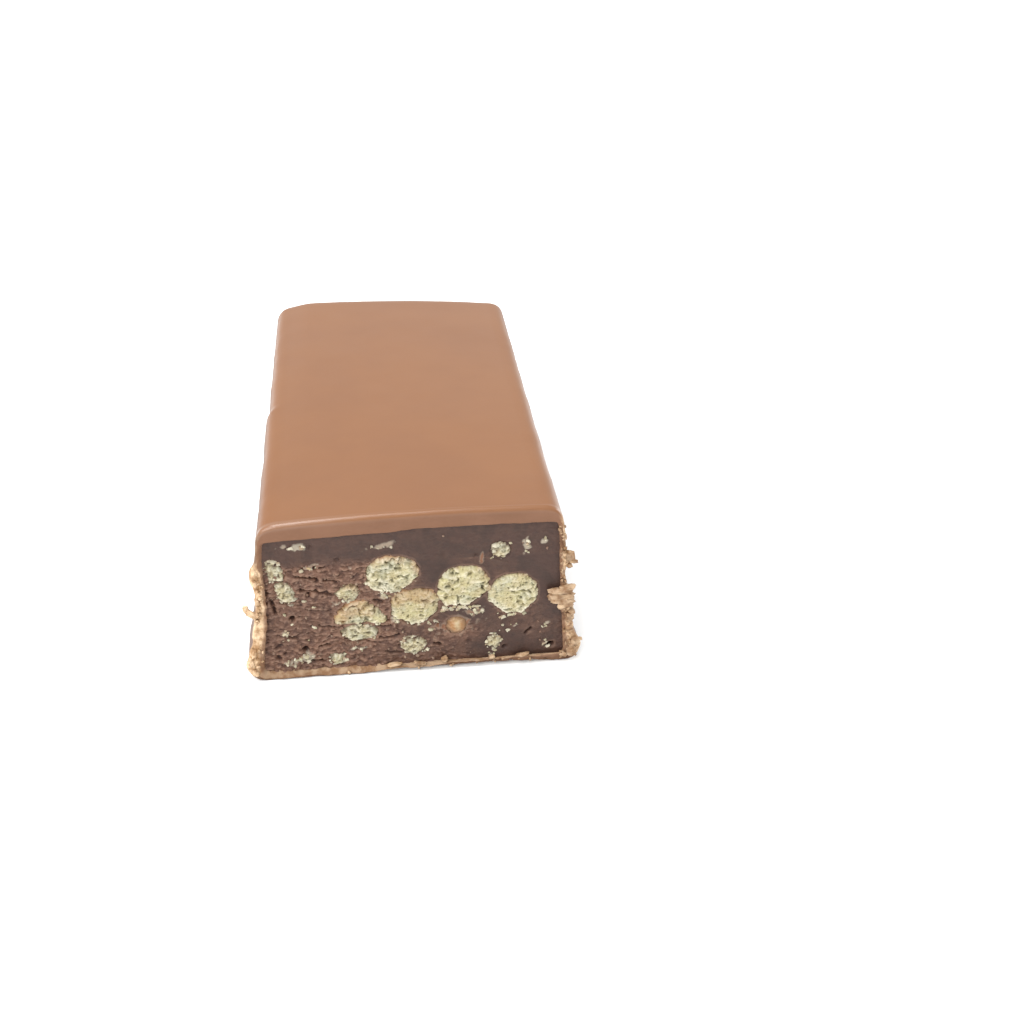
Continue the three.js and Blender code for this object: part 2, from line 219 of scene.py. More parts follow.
def fronted_block(front, rings, last):
    """A grid of points that looks towards the knife, closed behind by rings from its border to a last
    point."""
    rows, columns, _ = front.shape
    index = np.arange(rows * columns).reshape(rows, columns)
    grid = np.stack([index[:-1, :-1], index[1:, :-1], index[1:, 1:], index[:-1, 1:]], axis=-1).reshape(-1, 4)
    border = np.concatenate([index[0, :-1], index[:-1, -1], index[-1, :0:-1], index[:0:-1, 0]])
    edge_points = front.reshape(-1, 3)[border]
    behind = np.stack([ring(edge_points) for ring in rings])
    count = len(border)
    points = np.concatenate([front.reshape(-1, 3), behind.reshape(-1, 3), [last]])
    loops = np.concatenate([border[None], index.size + np.arange(len(rings) * count).reshape(-1, count)])
    after = np.roll(loops, -1, axis=1)
    sides = np.stack([loops[:-1], after[:-1], after[1:], loops[1:]], axis=-1).reshape(-1, 4)
    cap = np.stack([loops[-1], after[-1], np.full(count, len(points) - 1)], axis=-1)
    return points, [grid, sides, cap]


print("mesh helpers ready")

# %% [markdown]
# The coating's section is a trapezium with rounded corners. Each corner is a quadratic curve whose middle
# control point is the sharp corner. The outside and the cavity use the same number of steps, so that each
# outer point has a partner inside, and the broken rim can run from one to the other.

# %% Section loops
CORNER_STEPS = 10
STRAIGHT_STEPS = (124, 126, 110, 126)


def section(low, high, half_width, foot, right_top, left_top):
    """x and z of points around a trapezium, anticlockwise from the left foot: (1-t)^2 A + 2t(1-t) B + t^2 C
    round each corner B, then evenly along the straight to the next corner."""
    corner = np.array([
        [-half_width(low), low], [half_width(low), low],
        [half_width(high), high], [-half_width(high), high],
    ])
    radius = (foot, foot, right_top, left_top)

    def from_corner(i, towards):
        step = corner[towards % 4] - corner[i % 4]
        return corner[i % 4] + step / np.linalg.norm(step) * radius[i % 4]

    loop = []
    for i in range(4):
        before, after = from_corner(i, i - 1), from_corner(i, i + 1)
        t = np.arange(CORNER_STEPS)[:, None] / CORNER_STEPS
        loop.append((1 - t) ** 2 * before + 2 * t * (1 - t) * corner[i] + t ** 2 * after)
        t = np.arange(STRAIGHT_STEPS[i])[:, None] / STRAIGHT_STEPS[i]
        loop.append(after + t * (from_corner(i + 1, i) - after))
    return np.concatenate(loop).T


def outer_half_width(z):
    return BASE_HALF_WIDTH - DRAFT * z


def cavity_half_width(z):
    return WALL_BASE_HALF_WIDTH - WALL_DRAFT * z


outer_x, outer_z = section(0, HEIGHT, outer_half_width, FOOT_RADIUS, RIGHT_SHOULDER, LEFT_SHOULDER)
cavity_x, cavity_z = section(FLOOR_THICKNESS, HEIGHT - TOP_THICKNESS, cavity_half_width,
                             INNER_RADIUS, INNER_RADIUS, INNER_RADIUS)
columns = len(outer_x)
print("points round a section:", columns)

# %% [markdown]
# Melted chocolate leaves a curtain that is thick on top and thin on the walls. It sets with soft dimples on
# the walls, because the crisps push from inside, and with a very slow wave along the top. Two bubbles burst
# in the right wall while it set. So the outside is one function: it takes points of the section and distances
# from the cut, and adds up how far each of these effects moves them.

# %% The outside of the coating
# y, z, half-length along y and z, and depth of each burst bubble.
BUBBLES = [(14.5, 15.2, 1.25, 0.5, 0.4), (23.5, 14.8, 0.4, 0.35, 0.25)]
# Height of each wave of the top, its length along x and y, and its seed.
WAVES = [(0.035, 7, 9, 12), (0.010, 2.2, 2.6, 15)]
FINE_DIMPLE_DEPTH = 0.09
FINE_DIMPLE_LENGTH = 1.5
FINE_DIMPLE_HEIGHT = 1.3
WALL_SEED = 9
SWELL_SEED = 5
FAR_END_SEED = 41
# Where effects begin and end. Across the bar: the wall, the lifted stretch of the underside, the drooping
# shoulder and the thinner roof. Up the wall: the fading of the dimples. Along the bar: the step and the lift.
WALL_BEGINS = (12.5, 14.5)
DIMPLES_FADE = (12.5, 15.5)
STEP_FROM, STEP_TO = STEP_AT - 0.6, STEP_AT + 0.9
LIFT_BEGINS, LIFT_ENDS = (-6, -2), (11.5, 14)
LIFT_REACH = 2.5
DROOP_BEGINS = (10, 13.5)
THIN_ROOF_BEGINS = (-3, 1)


def crown(x, z, y):
    """How much the top is lifted: a parabola across the bar, a tilt that turns over along it, and a droop of
    the left shoulder at the far end, all fading with the fourth power of z."""
    far = y / LENGTH
    arch = CROWN * (1 - (x / outer_half_width(HEIGHT)) ** 2)
    droop = FAR_DROOP * smooth(-x, *DROOP_BEGINS) * far ** 2
    return (arch + (TILT + (FAR_TILT - TILT) * far) * x - droop) * (z / HEIGHT) ** 4


def roof(x, z, y):
    """The crown, and the stretch right of the middle where the top coat is thinner."""
    return crown(x, z, y) + ROOF_STEP * smooth(x, *THIN_ROOF_BEGINS) * (z / (HEIGHT - TOP_THICKNESS)) ** 4


def dimples(along_wall, z, seed):
    """Soft hollows and swellings of a wall: broad ones, and shallower ones about half as wide."""
    broad = noise(along_wall / DIMPLE_SPACING, z / DIMPLE_SPACING, seed)
    fine = noise(along_wall / FINE_DIMPLE_LENGTH, z / FINE_DIMPLE_HEIGHT, seed + 3)
    return DIMPLE_DEPTH * broad + FINE_DIMPLE_DEPTH * fine


def burst(x, z, y):
    """Depth of the burst bubbles: half ellipsoids in the right wall."""
    deep = 0.0
    for at_y, at_z, wide, high, depth in BUBBLES:
        deep = deep + depth * np.sqrt(np.clip(1 - ((y - at_y) / wide) ** 2 - ((z - at_z) / high) ** 2, 0, 1))
    return deep * (x > 0)


def foot(z):
    """How far the foot spreads: a bell curve round the height of the foot."""
    return FOOT_SPREAD * np.exp(-(((z - FOOT_HEIGHT) / FOOT_HEIGHT) ** 2))


def outside(x, z, y):
    """The section's points (x, z) carried to the distances y from the cut. The walls move outwards by foot,
    dimples and swell, less the step and the bubbles; the top rises by crown and waves, and the underside by
    its rise between the middle and the right."""
    side = np.sign(x)
    on_wall = smooth(np.abs(x), *WALL_BEGINS)
    top = smooth(z, HEIGHT - 0.8, HEIGHT - 0.1)
    faded = 1 - 0.7 * smooth(z, *DIMPLES_FADE)
    dimple = faded * dimples(y, z, WALL_SEED * side)
    swell = SWELL * noise(y / SWELL_SPACING, 0.5, SWELL_SEED * side)
    sunk = (side < 0) * STEP * smooth(y, STEP_FROM, STEP_TO) + burst(x, z, y)
    wave = sum(tall * noise(x / wide, y / long, seed) for tall, wide, long, seed in WAVES)
    under = 1 - smooth(z, 0.05, 0.3)
    lifted = smooth(x, *LIFT_BEGINS) * (1 - smooth(x, *LIFT_ENDS)) * (1 - smooth(y, 0, LIFT_REACH))
    moved_x = x + side * on_wall * (foot(z) + dimple + swell - sunk)
    moved_z = z + crown(x, z, y) + top * wave + under * lifted * UNDERSIDE_RISE
    return np.stack(np.broadcast_arrays(moved_x, y, moved_z), axis=-1)


print("step in the left wall:", STEP, "mm, burst bubbles:", len(BUBBLES))

# %% [markdown]
# The far end is closed, as chocolate runs over the whole bar. Its rings grow from the middle of the end face
# to the full section, first on the flat and then round a quarter circle.

# %% The far end
def rounded_end(rings, inset, share):
    """Rings of an end face drawn in towards the middle height by an inset and a share: less at the base and
    at the upright corners than at the top."""
    middle = HEIGHT / 2
    low = np.where(rings[..., 2] < middle, inset * BASE_ROUNDING, inset)
    drawn = rings.copy()
    drawn[..., 0] *= share * (1 - inset * CORNER_ROUNDING / BASE_HALF_WIDTH)
    drawn[..., 2] = middle + (rings[..., 2] - middle) * share * (1 - low / middle)
    return drawn


def end_rows(surface, face, radius, bulge, flat_steps, round_steps):
    """Rings from near the middle of an end face out to its full section: first flat, then rounded."""
    share = np.linspace(1 / flat_steps, 1, flat_steps)[:, None]
    flat = rounded_end(surface(face + 0 * share), radius, share)
    flat[..., 1] = face + bulge * (1 - share ** 2)
    angle = np.radians(np.linspace(90, 0, round_steps, endpoint=False))[1:, None]
    y = face - radius * (1 - np.sin(angle))
    curved = rounded_end(surface(y), radius * (1 - np.cos(angle)), 1)
    return np.concatenate([flat, curved])


far_rows = end_rows(lambda y: outside(outer_x, outer_z, y), LENGTH, END_RADIUS, END_BULGE,
                    flat_steps=15, round_steps=9)
on_end = smooth(far_rows[..., 1], LENGTH - END_RADIUS, LENGTH)
far_rows[..., 1] += foot(far_rows[..., 2]) * on_end
far_rows[..., 1] += on_end * dimples(far_rows[..., 0], far_rows[..., 2], FAR_END_SEED)
print("rings over the far end:", len(far_rows))

# %% [markdown]
# The knife leaves a smooth, slightly rolled edge where it enters the thick top, and it breaks the thin walls
# and the base. So the edge of the outside is rounded by a generous lip on top and a sharp one elsewhere, and
# just behind the cut the thin coat bulges in blocks and chips.

# %% The outside, from the far end to the cut
LIP_TOP = 0.42
LIP_WALL = 0.14
NEAR_REACH = 2.6
NEAR_RINGS = 20
# The rings stand closer together by the cut, and where the bubbles and the step need them: from y, to y, and
# how many.
STRETCHES = [
    (NEAR_REACH, 13.0, 16), (13.0, 16.0, 24), (16.0, 22.9, 11), (22.9, 25.8, 17),
    (25.8, LENGTH - END_RADIUS, 43),
]

on_top = smooth(outer_z, HEIGHT - 1.6, HEIGHT - 0.4)
on_base = 1 - smooth(outer_z, 0.2, 0.9)
on_rim = 1 - on_top
side = np.sign(outer_x)
clean = (side < 0) * smooth(outer_z, 13.2, 14.4)  # the knife left this stretch of the left wall whole
broken = on_rim * (1 - 0.8 * clean)
lip = LIP_WALL + (LIP_TOP - LIP_WALL) * on_top
near = NEAR_REACH * np.linspace(0, 1, NEAR_RINGS) ** 1.3
ring_places = np.concatenate([near[:-1]] + [np.linspace(*stretch)[:-1] for stretch in STRETCHES]
                             + [[LENGTH - END_RADIUS]])[::-1, None]
along = lip + ring_places * (1 - lip / (LENGTH - END_RADIUS))
long_rows = outside(outer_x, outer_z, along)
print("rings along the bar:", len(long_rows))

# %% Blocks and chips just behind the cut
FRINGE_REACH = 0.55
CHIP_SIZE = 0.6
CHIPS_LEFT, CHIPS_RIGHT = 0.13, 0.24
# Side, height in the wall, half-height and how far the rim stands out sideways.
BLOCKS = [
    (-1, 12.4, 1.35, 0.42), (-1, 9.4, 0.5, 0.10), (-1, 6.2, 1.0, 0.05), (-1, 2.2, 1.6, 0.20),
    (1, 15.3, 0.5, 0.08), (1, 12.6, 0.75, 0.42), (1, 10.6, 0.7, -0.12), (1, 8.0, 1.35, 0.45),
    (1, 5.8, 0.8, 0.25), (1, 4.3, 0.5, 0.05), (1, 1.8, 1.3, 0.20),
]
fringe = on_rim * hump(long_rows[..., 1], 0, FRINGE_REACH)
chips = ragged(long_rows[..., 1] / CHIP_SIZE, outer_z / CHIP_SIZE, outer_x / CHIP_SIZE + 20, 4)
blocks = sum(out * hump(outer_z, z, half, 4) * (side == at) for at, z, half, out in BLOCKS)
out_by = fringe * (blocks + broken * (0.02 + np.where(side < 0, CHIPS_LEFT, CHIPS_RIGHT) * chips))
long_rows[..., 0] += out_by * side * smooth(np.abs(outer_x), 14, 15.4)
long_rows[..., 2] = np.maximum(long_rows[..., 2] - 0.5 * on_base * out_by, 0)
print("the fringe stands out by up to", round(float(out_by.max()), 2), "mm")

# %% [markdown]
# The rim runs from each outer point straight to its partner in the cavity, rounded over by the lip. Then it
# gets the look of broken chocolate: it stands out of the cut in grains with a few pits between them, a ridge
# runs along the base, a flange sticks out at the base's left, and the inner edge wanders.

# %% Across the rim, from the outside to the cavity
RIM_RINGS = 16
edge = outside(outer_x, outer_z, lip)
inner = np.stack([cavity_x, 0 * cavity_x, cavity_z + roof(cavity_x, cavity_z, 0)], axis=-1)
across = inner - edge
across[:, 1] = 0
thickness = np.linalg.norm(across, axis=1)
share = np.linspace(0, 1, RIM_RINGS + 1)[1:, None]
rolled = np.clip(1 - share * thickness / lip, 0, 1)
rim_rows = edge + share[..., None] * across
rim_rows[..., 1] = lip * (1 - np.sqrt(1 - rolled ** 2))
rim_rows += (long_rows[-1] - edge) * (1 - share[..., None]) ** 2
rim_x, rim_z = rim_rows[..., 0].copy(), rim_rows[..., 2].copy()
print("rings across the rim:", len(rim_rows), "thickness from", round(float(thickness.min()), 2), "to",
      round(float(thickness.max()), 2))

# %% Grains, pits and ridges of the broken rim
GRAIN_SIZE = 0.62
GRIT_SIZE = 0.25
# How far the rim stands out of the cut: everywhere, in grains, in broad unevenness, and in fine grit.
STAND, GRAIN_STAND, UNEVEN_STAND, GRIT_STAND = 0.10, 0.10, 0.20, 0.06
PIT_DEPTH = 0.22
RIDGE_HEIGHT = 0.16
FLANGE_REACH = 0.25
STREAK_DEPTH = 0.03
nearest, owner = cells(rim_x, rim_z, GRAIN_SIZE, 5)
grains = smooth(0.8 - nearest, 0, 0.6) * (0.6 + 0.4 * owner)
bumpy = np.where(side < 0, 0.4, 1.0)  # the left wall broke more smoothly
pits = bumpy * broken * (owner > 0.75) * (1 - smooth(nearest, 0.08, 0.40)) * smooth(share, 0.05, 0.2)
uneven = ragged(rim_x / 1.1, rim_z / 1.1, 7)
grit = ragged(rim_x / GRIT_SIZE, rim_z / GRIT_SIZE, 9, 2)
stand = STAND + bumpy * (GRAIN_STAND * grains + UNEVEN_STAND * uneven) + GRIT_STAND * grit
rim_rows[..., 1] -= broken * stand * smooth(share, 0, 0.25)
rim_rows[..., 1] += PIT_DEPTH * pits
ridge = on_base * hump(share, 0.85, 0.22)
rim_rows[..., 1] -= RIDGE_HEIGHT * ridge
flange = on_base * (1 - smooth(rim_x, -8, -1)) * hump(share, 0.3, 0.4)
rim_rows[..., 1] -= FLANGE_REACH * flange * (1 + 0.2 * uneven)
rim_rows[..., 1] += on_top * STREAK_DEPTH * noise(rim_x / 3, rim_z / 0.35, 17) * smooth(share, 0.35, 0.6)
print("the rim stands out of the cut by up to", round(float(-rim_rows[..., 1].min()), 2), "mm")

# %% The wandering inner edge
THINNER_LEFT, THINNER_RIGHT = 0.42, 0.26
THICKER_LEFT = 0.24
wander = smooth(share, 0.2, 0.9)
rim_rows[..., 0] += wander * on_rim * 0.20 * ragged(rim_x / 0.8, rim_z / 0.8, 23, 3)
rim_rows[..., 2] += wander * (0.10 + 0.06 * on_rim) * ragged(rim_x / 1.2, rim_z / 1.2, 29, 4)
# High up the walls are thinner, and the left wall is thicker at middle height.
thinner = np.where(side < 0, THINNER_LEFT, THINNER_RIGHT) * smooth(outer_z, 12.8, 14.2)
thinner = thinner * smooth(np.abs(cavity_x), 13.0, 13.9)
middle_left = (side < 0) * (hump(outer_z, 8.5, 4.2, 4) - 1 + smooth(outer_z, 2.4, 4.0))
rim_rows[..., 0] += side * wander * (thinner - THICKER_LEFT * middle_left)
# The ridge along the base climbs to the right.
climb = 0.54 * smooth(rim_x, -7, 5) + 0.24 * smooth(rim_x, 8, 13.5) - 0.42 + 0.15 * noise(rim_x / 1.4, 3, 31)
rim_rows[..., 2] += on_base * wander * climb
print("the ridge of the base is lifted by", round(float(climb.min()), 2), "to",
      round(float(climb.max()), 2), "mm")

# %% The whole coating as one closed skin
def cavity(y):
    """The cavity's section, lifted by the roof, at the distances y from the cut."""
    lifted = cavity_z + roof(cavity_x, cavity_z, y)
    return np.stack(np.broadcast_arrays(cavity_x, y, lifted), axis=-1)


inside_rows = cavity(np.array([0.4, 1.2, 15, LENGTH - END_THICKNESS - INNER_RADIUS])[:, None])
back_rows = end_rows(cavity, LENGTH - END_THICKNESS, INNER_RADIUS, 0, flat_steps=3, round_steps=3)[::-1]
coating_rings = np.concatenate([far_rows, long_rows, rim_rows, inside_rows, back_rows])
coating_points, coating_faces = closed_skin(
    (0, LENGTH + END_BULGE, HEIGHT / 2), coating_rings, (0, LENGTH - END_THICKNESS, HEIGHT / 2))
rim_from = len(far_rows) + len(long_rows)
rim_to = rim_from + len(rim_rows)
long_part, rim_part = slice(len(far_rows), rim_from), slice(rim_from, rim_to)
print("rings of the coating:", len(coating_rings))

# %% [markdown]
# The coating has several finishes in one skin, so masks on its points say where each one is: the pale broken
# rim, the smeared cut, the walls, a painted sheen on their bulges, dark pits and painted shade in creases and
# recesses, and gloss. A material blends its colours by these masks later.

# %% Masks of the rim and the cut
masks = {name: np.zeros(coating_rings.shape[:2]) for name in ("rim", "cut", "wall", "pit", "gloss", "rubbed")}

# On the walls the pale part of the rim is the outer one; on the base it is the ridge by the filling.
left_base = 1 - smooth(rim_x, -9, -3)
pale_base = 0.10 + 0.06 * left_base + (0.45 - 0.12 * left_base) * smooth(share + 0.2 * uneven, 0.76, 0.95)
pale_wall = 1 - 0.75 * smooth(share + 0.15 * uneven, 0.62, 0.85)
pale_wall = pale_wall * np.where(side < 0, 1.0, 0.68 + 0.4 * uneven)
masks["rim"][long_part] = broken * hump(long_rows[..., 1], 0, 0.35)
masks["rim"][rim_part] = broken * (pale_wall * (1 - on_base) + pale_base * on_base)
masks["rim"][rim_to] = masks["rim"][rim_to - 1]
masks["cut"][rim_part] = smooth(share, 0.1, 0.35)
masks["cut"][rim_to:] = 1
print("pale broken rim, at most:", round(float(masks["rim"].max()), 2))

# %% Masks of the dark pits and the painted shade
# Painted shade darkens the pits, the creases between the grains, the line by the filling, the base under its
# ridge and the burst bubbles in the right wall.
inner_line_shade = 0.45 * smooth(share + 0.1 * uneven, 0.72, 0.9) * (1 - on_base)
shaded = 0.12 + 0.28 * (1 - smooth(rim_x, 5, 11))
shade_under_ridge = on_base * (shaded + 0.45 * (1 - smooth(share + 0.2 * uneven, 0.45, 0.68)))
crease_shade = 0.55 * smooth(-uneven, 0.10, 0.50) * bumpy ** 2
painted_shade = crease_shade + inner_line_shade + shade_under_ridge
masks["pit"][long_part] = np.clip(3 * burst(outer_x, outer_z, along), 0, 1)
masks["pit"][rim_part] = 0.72 * np.clip(0.7 * pits + broken * painted_shade, 0, 1)
print("dark places, at most:", round(float(masks["pit"].max()), 2))

# %% Masks of the walls and of gloss
# The walls and the far end are duller, and lightened where they bulge as a painted sheen.
ring_x, ring_y, ring_z = np.moveaxis(coating_rings, -1, 0)
on_far_end = smooth(ring_y, LENGTH - 1.2, LENGTH)
raised = np.where(on_far_end > 0.5, dimples(ring_x, ring_z, FAR_END_SEED),
                  dimples(ring_y, ring_z, WALL_SEED * np.sign(ring_x)))
masks["wall"] = np.maximum(smooth(HEIGHT - ring_z, 0.5, 1.9), on_far_end)
masks["rubbed"] = masks["wall"] * smooth(raised, -0.22, 0.26)

# The top has a soft gloss, stronger at its shoulders, and the lip shines most on the left.
satin = 0.06 + 0.29 * (1 - smooth(np.abs(ring_x), 12.2, 14.2))
glossy_lip = on_top * (1 - 0.45 * smooth(outer_x, -12, -3))
shine = glossy_lip * (1 - smooth(long_rows[..., 1], 0.5, 1.1))
masks["gloss"][:rim_from] = (satin * (1 - 0.5 * masks["wall"]))[:rim_from]
masks["gloss"][long_part] = np.maximum(masks["gloss"][long_part], shine)
masks["gloss"][rim_part] = glossy_lip * (1 - smooth(share, 0.15, 0.4))
print("gloss, at most:", round(float(masks["gloss"].max()), 2))

# %% The coating's mesh
def with_ends(mask):
    """A mask of shape (rings, columns) with a value added for the single point at each end."""
    return np.concatenate([[mask[0, 0]], mask.ravel(), [mask[-1, 0]]])


coating = make_piece("bar_coating", coating_points, coating_faces,
                     {name: with_ends(mask) for name, mask in masks.items()})
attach(coating, "root")
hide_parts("coating")

# %% [markdown]
# Flakes and crumbs of coating hang on the rim where the knife pulled it. Each one is a rough lump: a grid of
# latitudes and longitudes whose radius is moved by noise, stretched and turned. Raising the coordinates to a
# power below one makes it boxier, like a broken slab. The flakes that stand out most are placed one by one,
# and small crumbs are scattered along the rim by a seeded rule.

# %% Lumps, many in one mesh
def lumps_mesh(centres, sizes, turns, seeds, around, down, roughness, boxy):
    """Balls of unit radius times 1 + roughness x noise of the direction, each coordinate raised to the power
    boxy, stretched by sizes, turned in the face by turns, and moved to centres. All lumps are computed in
    one array of shape (lumps, points, 3)."""
    polar = np.pi * (np.arange(down - 1) + 1) / down
    spin = -2 * np.pi * np.arange(around) / around
    ball = np.stack([
        np.sin(polar)[:, None] * np.cos(spin), -np.cos(polar)[:, None] + 0 * spin,
        np.sin(polar)[:, None] * np.sin(spin)], axis=-1).reshape(-1, 3)
    ball = np.concatenate([[(0, -1, 0)], ball, [(0, 1, 0)]])
    seeds = np.asarray(seeds, float)[:, None]
    uneven = ragged(1.7 * ball[:, 0] + seeds, 1.7 * ball[:, 1] + 2.3 * seeds, 1.7 * ball[:, 2], 3)
    radius = 1 + roughness * uneven
    shape = np.sign(ball) * np.abs(ball) ** boxy
    lumps = shape * radius[..., None] * np.asarray(sizes, float)[:, None, :]
    angle = np.radians(np.asarray(turns, float))[:, None]
    x = lumps[..., 0] * np.cos(angle) - lumps[..., 2] * np.sin(angle)
    z = lumps[..., 0] * np.sin(angle) + lumps[..., 2] * np.cos(angle)
    turned = np.stack([x, lumps[..., 1], z], axis=-1) + np.asarray(centres, float)[:, None, :]
    _, one = closed_skin(ball[0], ball[1:-1].reshape(down - 1, around, 3), ball[-1])
    shift = np.arange(len(turned))[:, None, None] * len(ball)
    faces = [(f[None] + shift).reshape(-1, f.shape[1]) for f in one]
    return turned.reshape(-1, 3), faces


def joined(parts):
    """One list of points and faces from several."""
    points, faces, start = [], [], 0
    for part_points, part_faces in parts:
        points.append(part_points)
        faces += [f + start for f in part_faces]
        start += len(part_points)
    return np.concatenate(points), faces


# %% Flakes on the rim
# x, z, then half-sizes along x, y and z, then the turn in degrees.
FLAKES = np.array([
    (-15.20, 12.7, 0.28, 0.30, 0.72, 6), (-15.22, 11.7, 0.20, 0.26, 0.50, -10),
    (-15.85, 8.10, 0.72, 0.26, 0.30, -40), (-16.38, 8.60, 0.26, 0.24, 0.42, 8),
    (-16.00, 3.30, 0.24, 0.26, 0.60, -6), (-16.35, 2.10, 0.26, 0.30, 0.74, 4),
    (-16.10, 0.95, 0.38, 0.28, 0.42, 30), (14.85, 15.2, 0.14, 0.20, 0.34, 10),
    (15.38, 12.85, 0.44, 0.26, 0.64, 6), (15.74, 12.2, 0.44, 0.20, 0.18, -8),
    (15.40, 11.7, 0.28, 0.22, 0.26, 20), (15.20, 9.15, 0.86, 0.28, 0.30, 6),
    (14.60, 8.68, 1.20, 0.30, 0.36, -3), (14.65, 8.12, 1.32, 0.36, 0.40, 3),
    (14.80, 7.52, 1.12, 0.34, 0.38, -5), (15.10, 6.98, 0.86, 0.28, 0.32, 7),
    (15.76, 6.10, 0.34, 0.26, 0.28, 16), (15.50, 5.30, 0.26, 0.26, 0.44, -8),
    (15.62, 4.20, 0.36, 0.28, 0.38, 20), (16.42, 2.75, 0.62, 0.20, 0.20, -12),
    (15.95, 2.30, 0.46, 0.32, 0.36, 18), (15.90, 1.30, 0.48, 0.38, 0.60, 0),
    (15.10, 0.80, 0.44, 0.32, 0.30, -18), (2.90, 1.15, 0.34, 0.26, 0.30, 34),
    (-2.20, 0.80, 0.80, 0.26, 0.14, 6), (7.70, 0.95, 0.30, 0.26, 0.20, 10),
    (0.40, 0.85, 0.64, 0.24, 0.14, -8), (10.9, 1.10, 0.70, 0.24, 0.16, 8),
])
which = np.arange(len(FLAKES))
flake_y = -0.02 - 0.16 * np.abs(lattice(which, 3, 1))
flakes = lumps_mesh(np.stack([FLAKES[:, 0], flake_y, FLAKES[:, 1]], axis=-1), FLAKES[:, 2:5],
                    FLAKES[:, 5], which * 5.3, around=34, down=22, roughness=0.45, boxy=0.70)
print("flakes:", len(FLAKES))

# %% Crumbs on the rim
RIM_CRUMBS = 170
dice = np.random.default_rng(41)
chance = (broken > 0.9) * np.where(side < 0, 0.5, 1.0) * (1 - 0.75 * on_base)
spot = dice.choice(columns, RIM_CRUMBS, p=chance / chance.sum())
way_in = dice.uniform(0.0, 0.9, RIM_CRUMBS)
crumb_centres = edge[spot] + way_in[:, None] * across[spot]
crumb_centres[:, 1] = dice.uniform(-0.34, 0.0, RIM_CRUMBS)
crumb_centres[:, 2] = np.maximum(crumb_centres[:, 2], 0.3)
crumb_size = dice.uniform(0.05, 0.16, (RIM_CRUMBS, 1)) * dice.uniform(0.5, 1.6, (RIM_CRUMBS, 3))
crumbs = lumps_mesh(crumb_centres, crumb_size, dice.uniform(0, 180, RIM_CRUMBS),
                    dice.uniform(0, 99, RIM_CRUMBS), around=7, down=5, roughness=0.9, boxy=0.6)
flake_points, flake_faces = joined([flakes, crumbs])
flake_points[:, 2] = np.maximum(flake_points[:, 2], 0)
flake_x, flake_z = flake_points[:, 0], flake_points[:, 2]
nothing = np.zeros(len(flake_points))
on_left = flake_x < 0
flake_pit = smooth(ragged(flake_x / 0.7, flake_z / 0.45, 51), 0.0, 0.5)
flake_pale = np.where(on_left, 0.95, 0.75) + 0.35 * ragged(flake_x / 0.5, flake_z / 0.3, 53, 3)
rim_flakes = make_piece("rim_flakes", flake_points, flake_faces, {
    "rim": np.clip(flake_pale, 0, 1), "cut": nothing + 1, "wall": nothing, "rubbed": nothing,
    "gloss": nothing,
    "pit": np.where(on_left, 0.04, 0.23) + np.where(on_left, 0.14, 0.33) * flake_pit})
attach(rim_flakes, "root")

# %% [markdown]
# A puffed crisp is a ball of cereal foam with a thin toasted skin. The knife opens it into a disc of small
# torn bubbles. The disc is a square grid laid onto a circle, so its cells stay nearly even, and the circle is
# then pulled to the outline of each crisp: an oval, squarer or rounder, with straight sides where it broke.
# The grid reaches a little past that outline and dips under the filling there, so the visible edge is the
# ragged line where two uneven surfaces meet.

# %% What each crisp looks like
# Middle, half-sizes, turn and squareness of the outline; breaks as (direction, distance as a share of the
# size); toast as (direction, amount, where it starts); how yellow the foam is, and how crumbly it is.
Crisp = namedtuple("Crisp", "x z wide high turn square breaks toast yellow crumbly")
CRISPS = {
    "crisp_high_middle": Crisp(-2.05, 11.45, 2.65, 2.28, -3, 2.5,
        [(266, 0.88), (-46, 0.80)], (58, 0.6, 0.55), 0.40, 0.15),
    "crisp_right_middle": Crisp(4.95, 9.50, 2.65, 2.65, 0, 2.3,
        [(-50, 0.74), (267, 0.80)], (60, 0.4, 0.80), 0.90, 0.15),
    "crisp_far_right": Crisp(9.90, 8.42, 2.60, 2.60, 0, 2.15,
        [(226, 0.88), (-45, 0.93)], (80, 0.3, 0.85), 0.70, 0.12),
    "crisp_centre": Crisp(0.05, 7.45, 2.45, 2.30, 3, 3.4,
        [(235, 0.88), (312, 0.86)], (95, 0.55, 0.10), 0.80, 0.30),
    "crisp_split_top": Crisp(-5.30, 6.35, 2.75, 2.40, -3, 2.0,
        [(268, 0.14), (40, 0.84)], (118, 0.65, 0.20), 0.75, 0.15),
    "crisp_split_low": Crisp(-5.60, 4.80, 2.05, 1.00, -4, 2.0, [], (180, 0.2, 0.9), 0.35, 0.60),
    "crisp_upper_left_piece": Crisp(-6.45, 9.6, 1.35, 1.20, 35, 2.2, [], (60, 0.5, 0.2), 0.40, 0.75),
    "crisp_left_edge": Crisp(-12.50, 10.1, 1.10, 1.75, 12, 2.2, [], (20, 0.0, 0.9), 0.0, 0.78),
    "crisp_under_wall": Crisp(-13.35, 12.6, 0.95, 1.60, 14, 2.2, [], (120, 0.3, 0.8), 0.05, 0.82),
    "crisp_high_right": Crisp(8.6, 13.7, 1.15, 1.20, 0, 2.2, [], (20, 0.0, 0.9), 0.00, 0.90),
    "crisp_low_middle": Crisp(-0.15, 2.85, 1.55, 1.30, -20, 2.2, [], (20, 0.0, 0.9), 0.15, 0.90),
    "crisp_low_right": Crisp(7.95, 2.75, 0.95, 1.20, -12, 2.2, [], (20, 0.0, 0.9), 0.05, 0.85),
    "crisp_low_left": Crisp(-7.85, 1.65, 1.05, 0.90, 0, 2.2, [], (20, 0.1, 0.9), 0.10, 0.85),
    "crisp_toasted": Crisp(4.15, 5.00, 1.10, 1.15, 0, 2.0, [], (90, 1.0, 0.0), 0.80, 0.10),
}


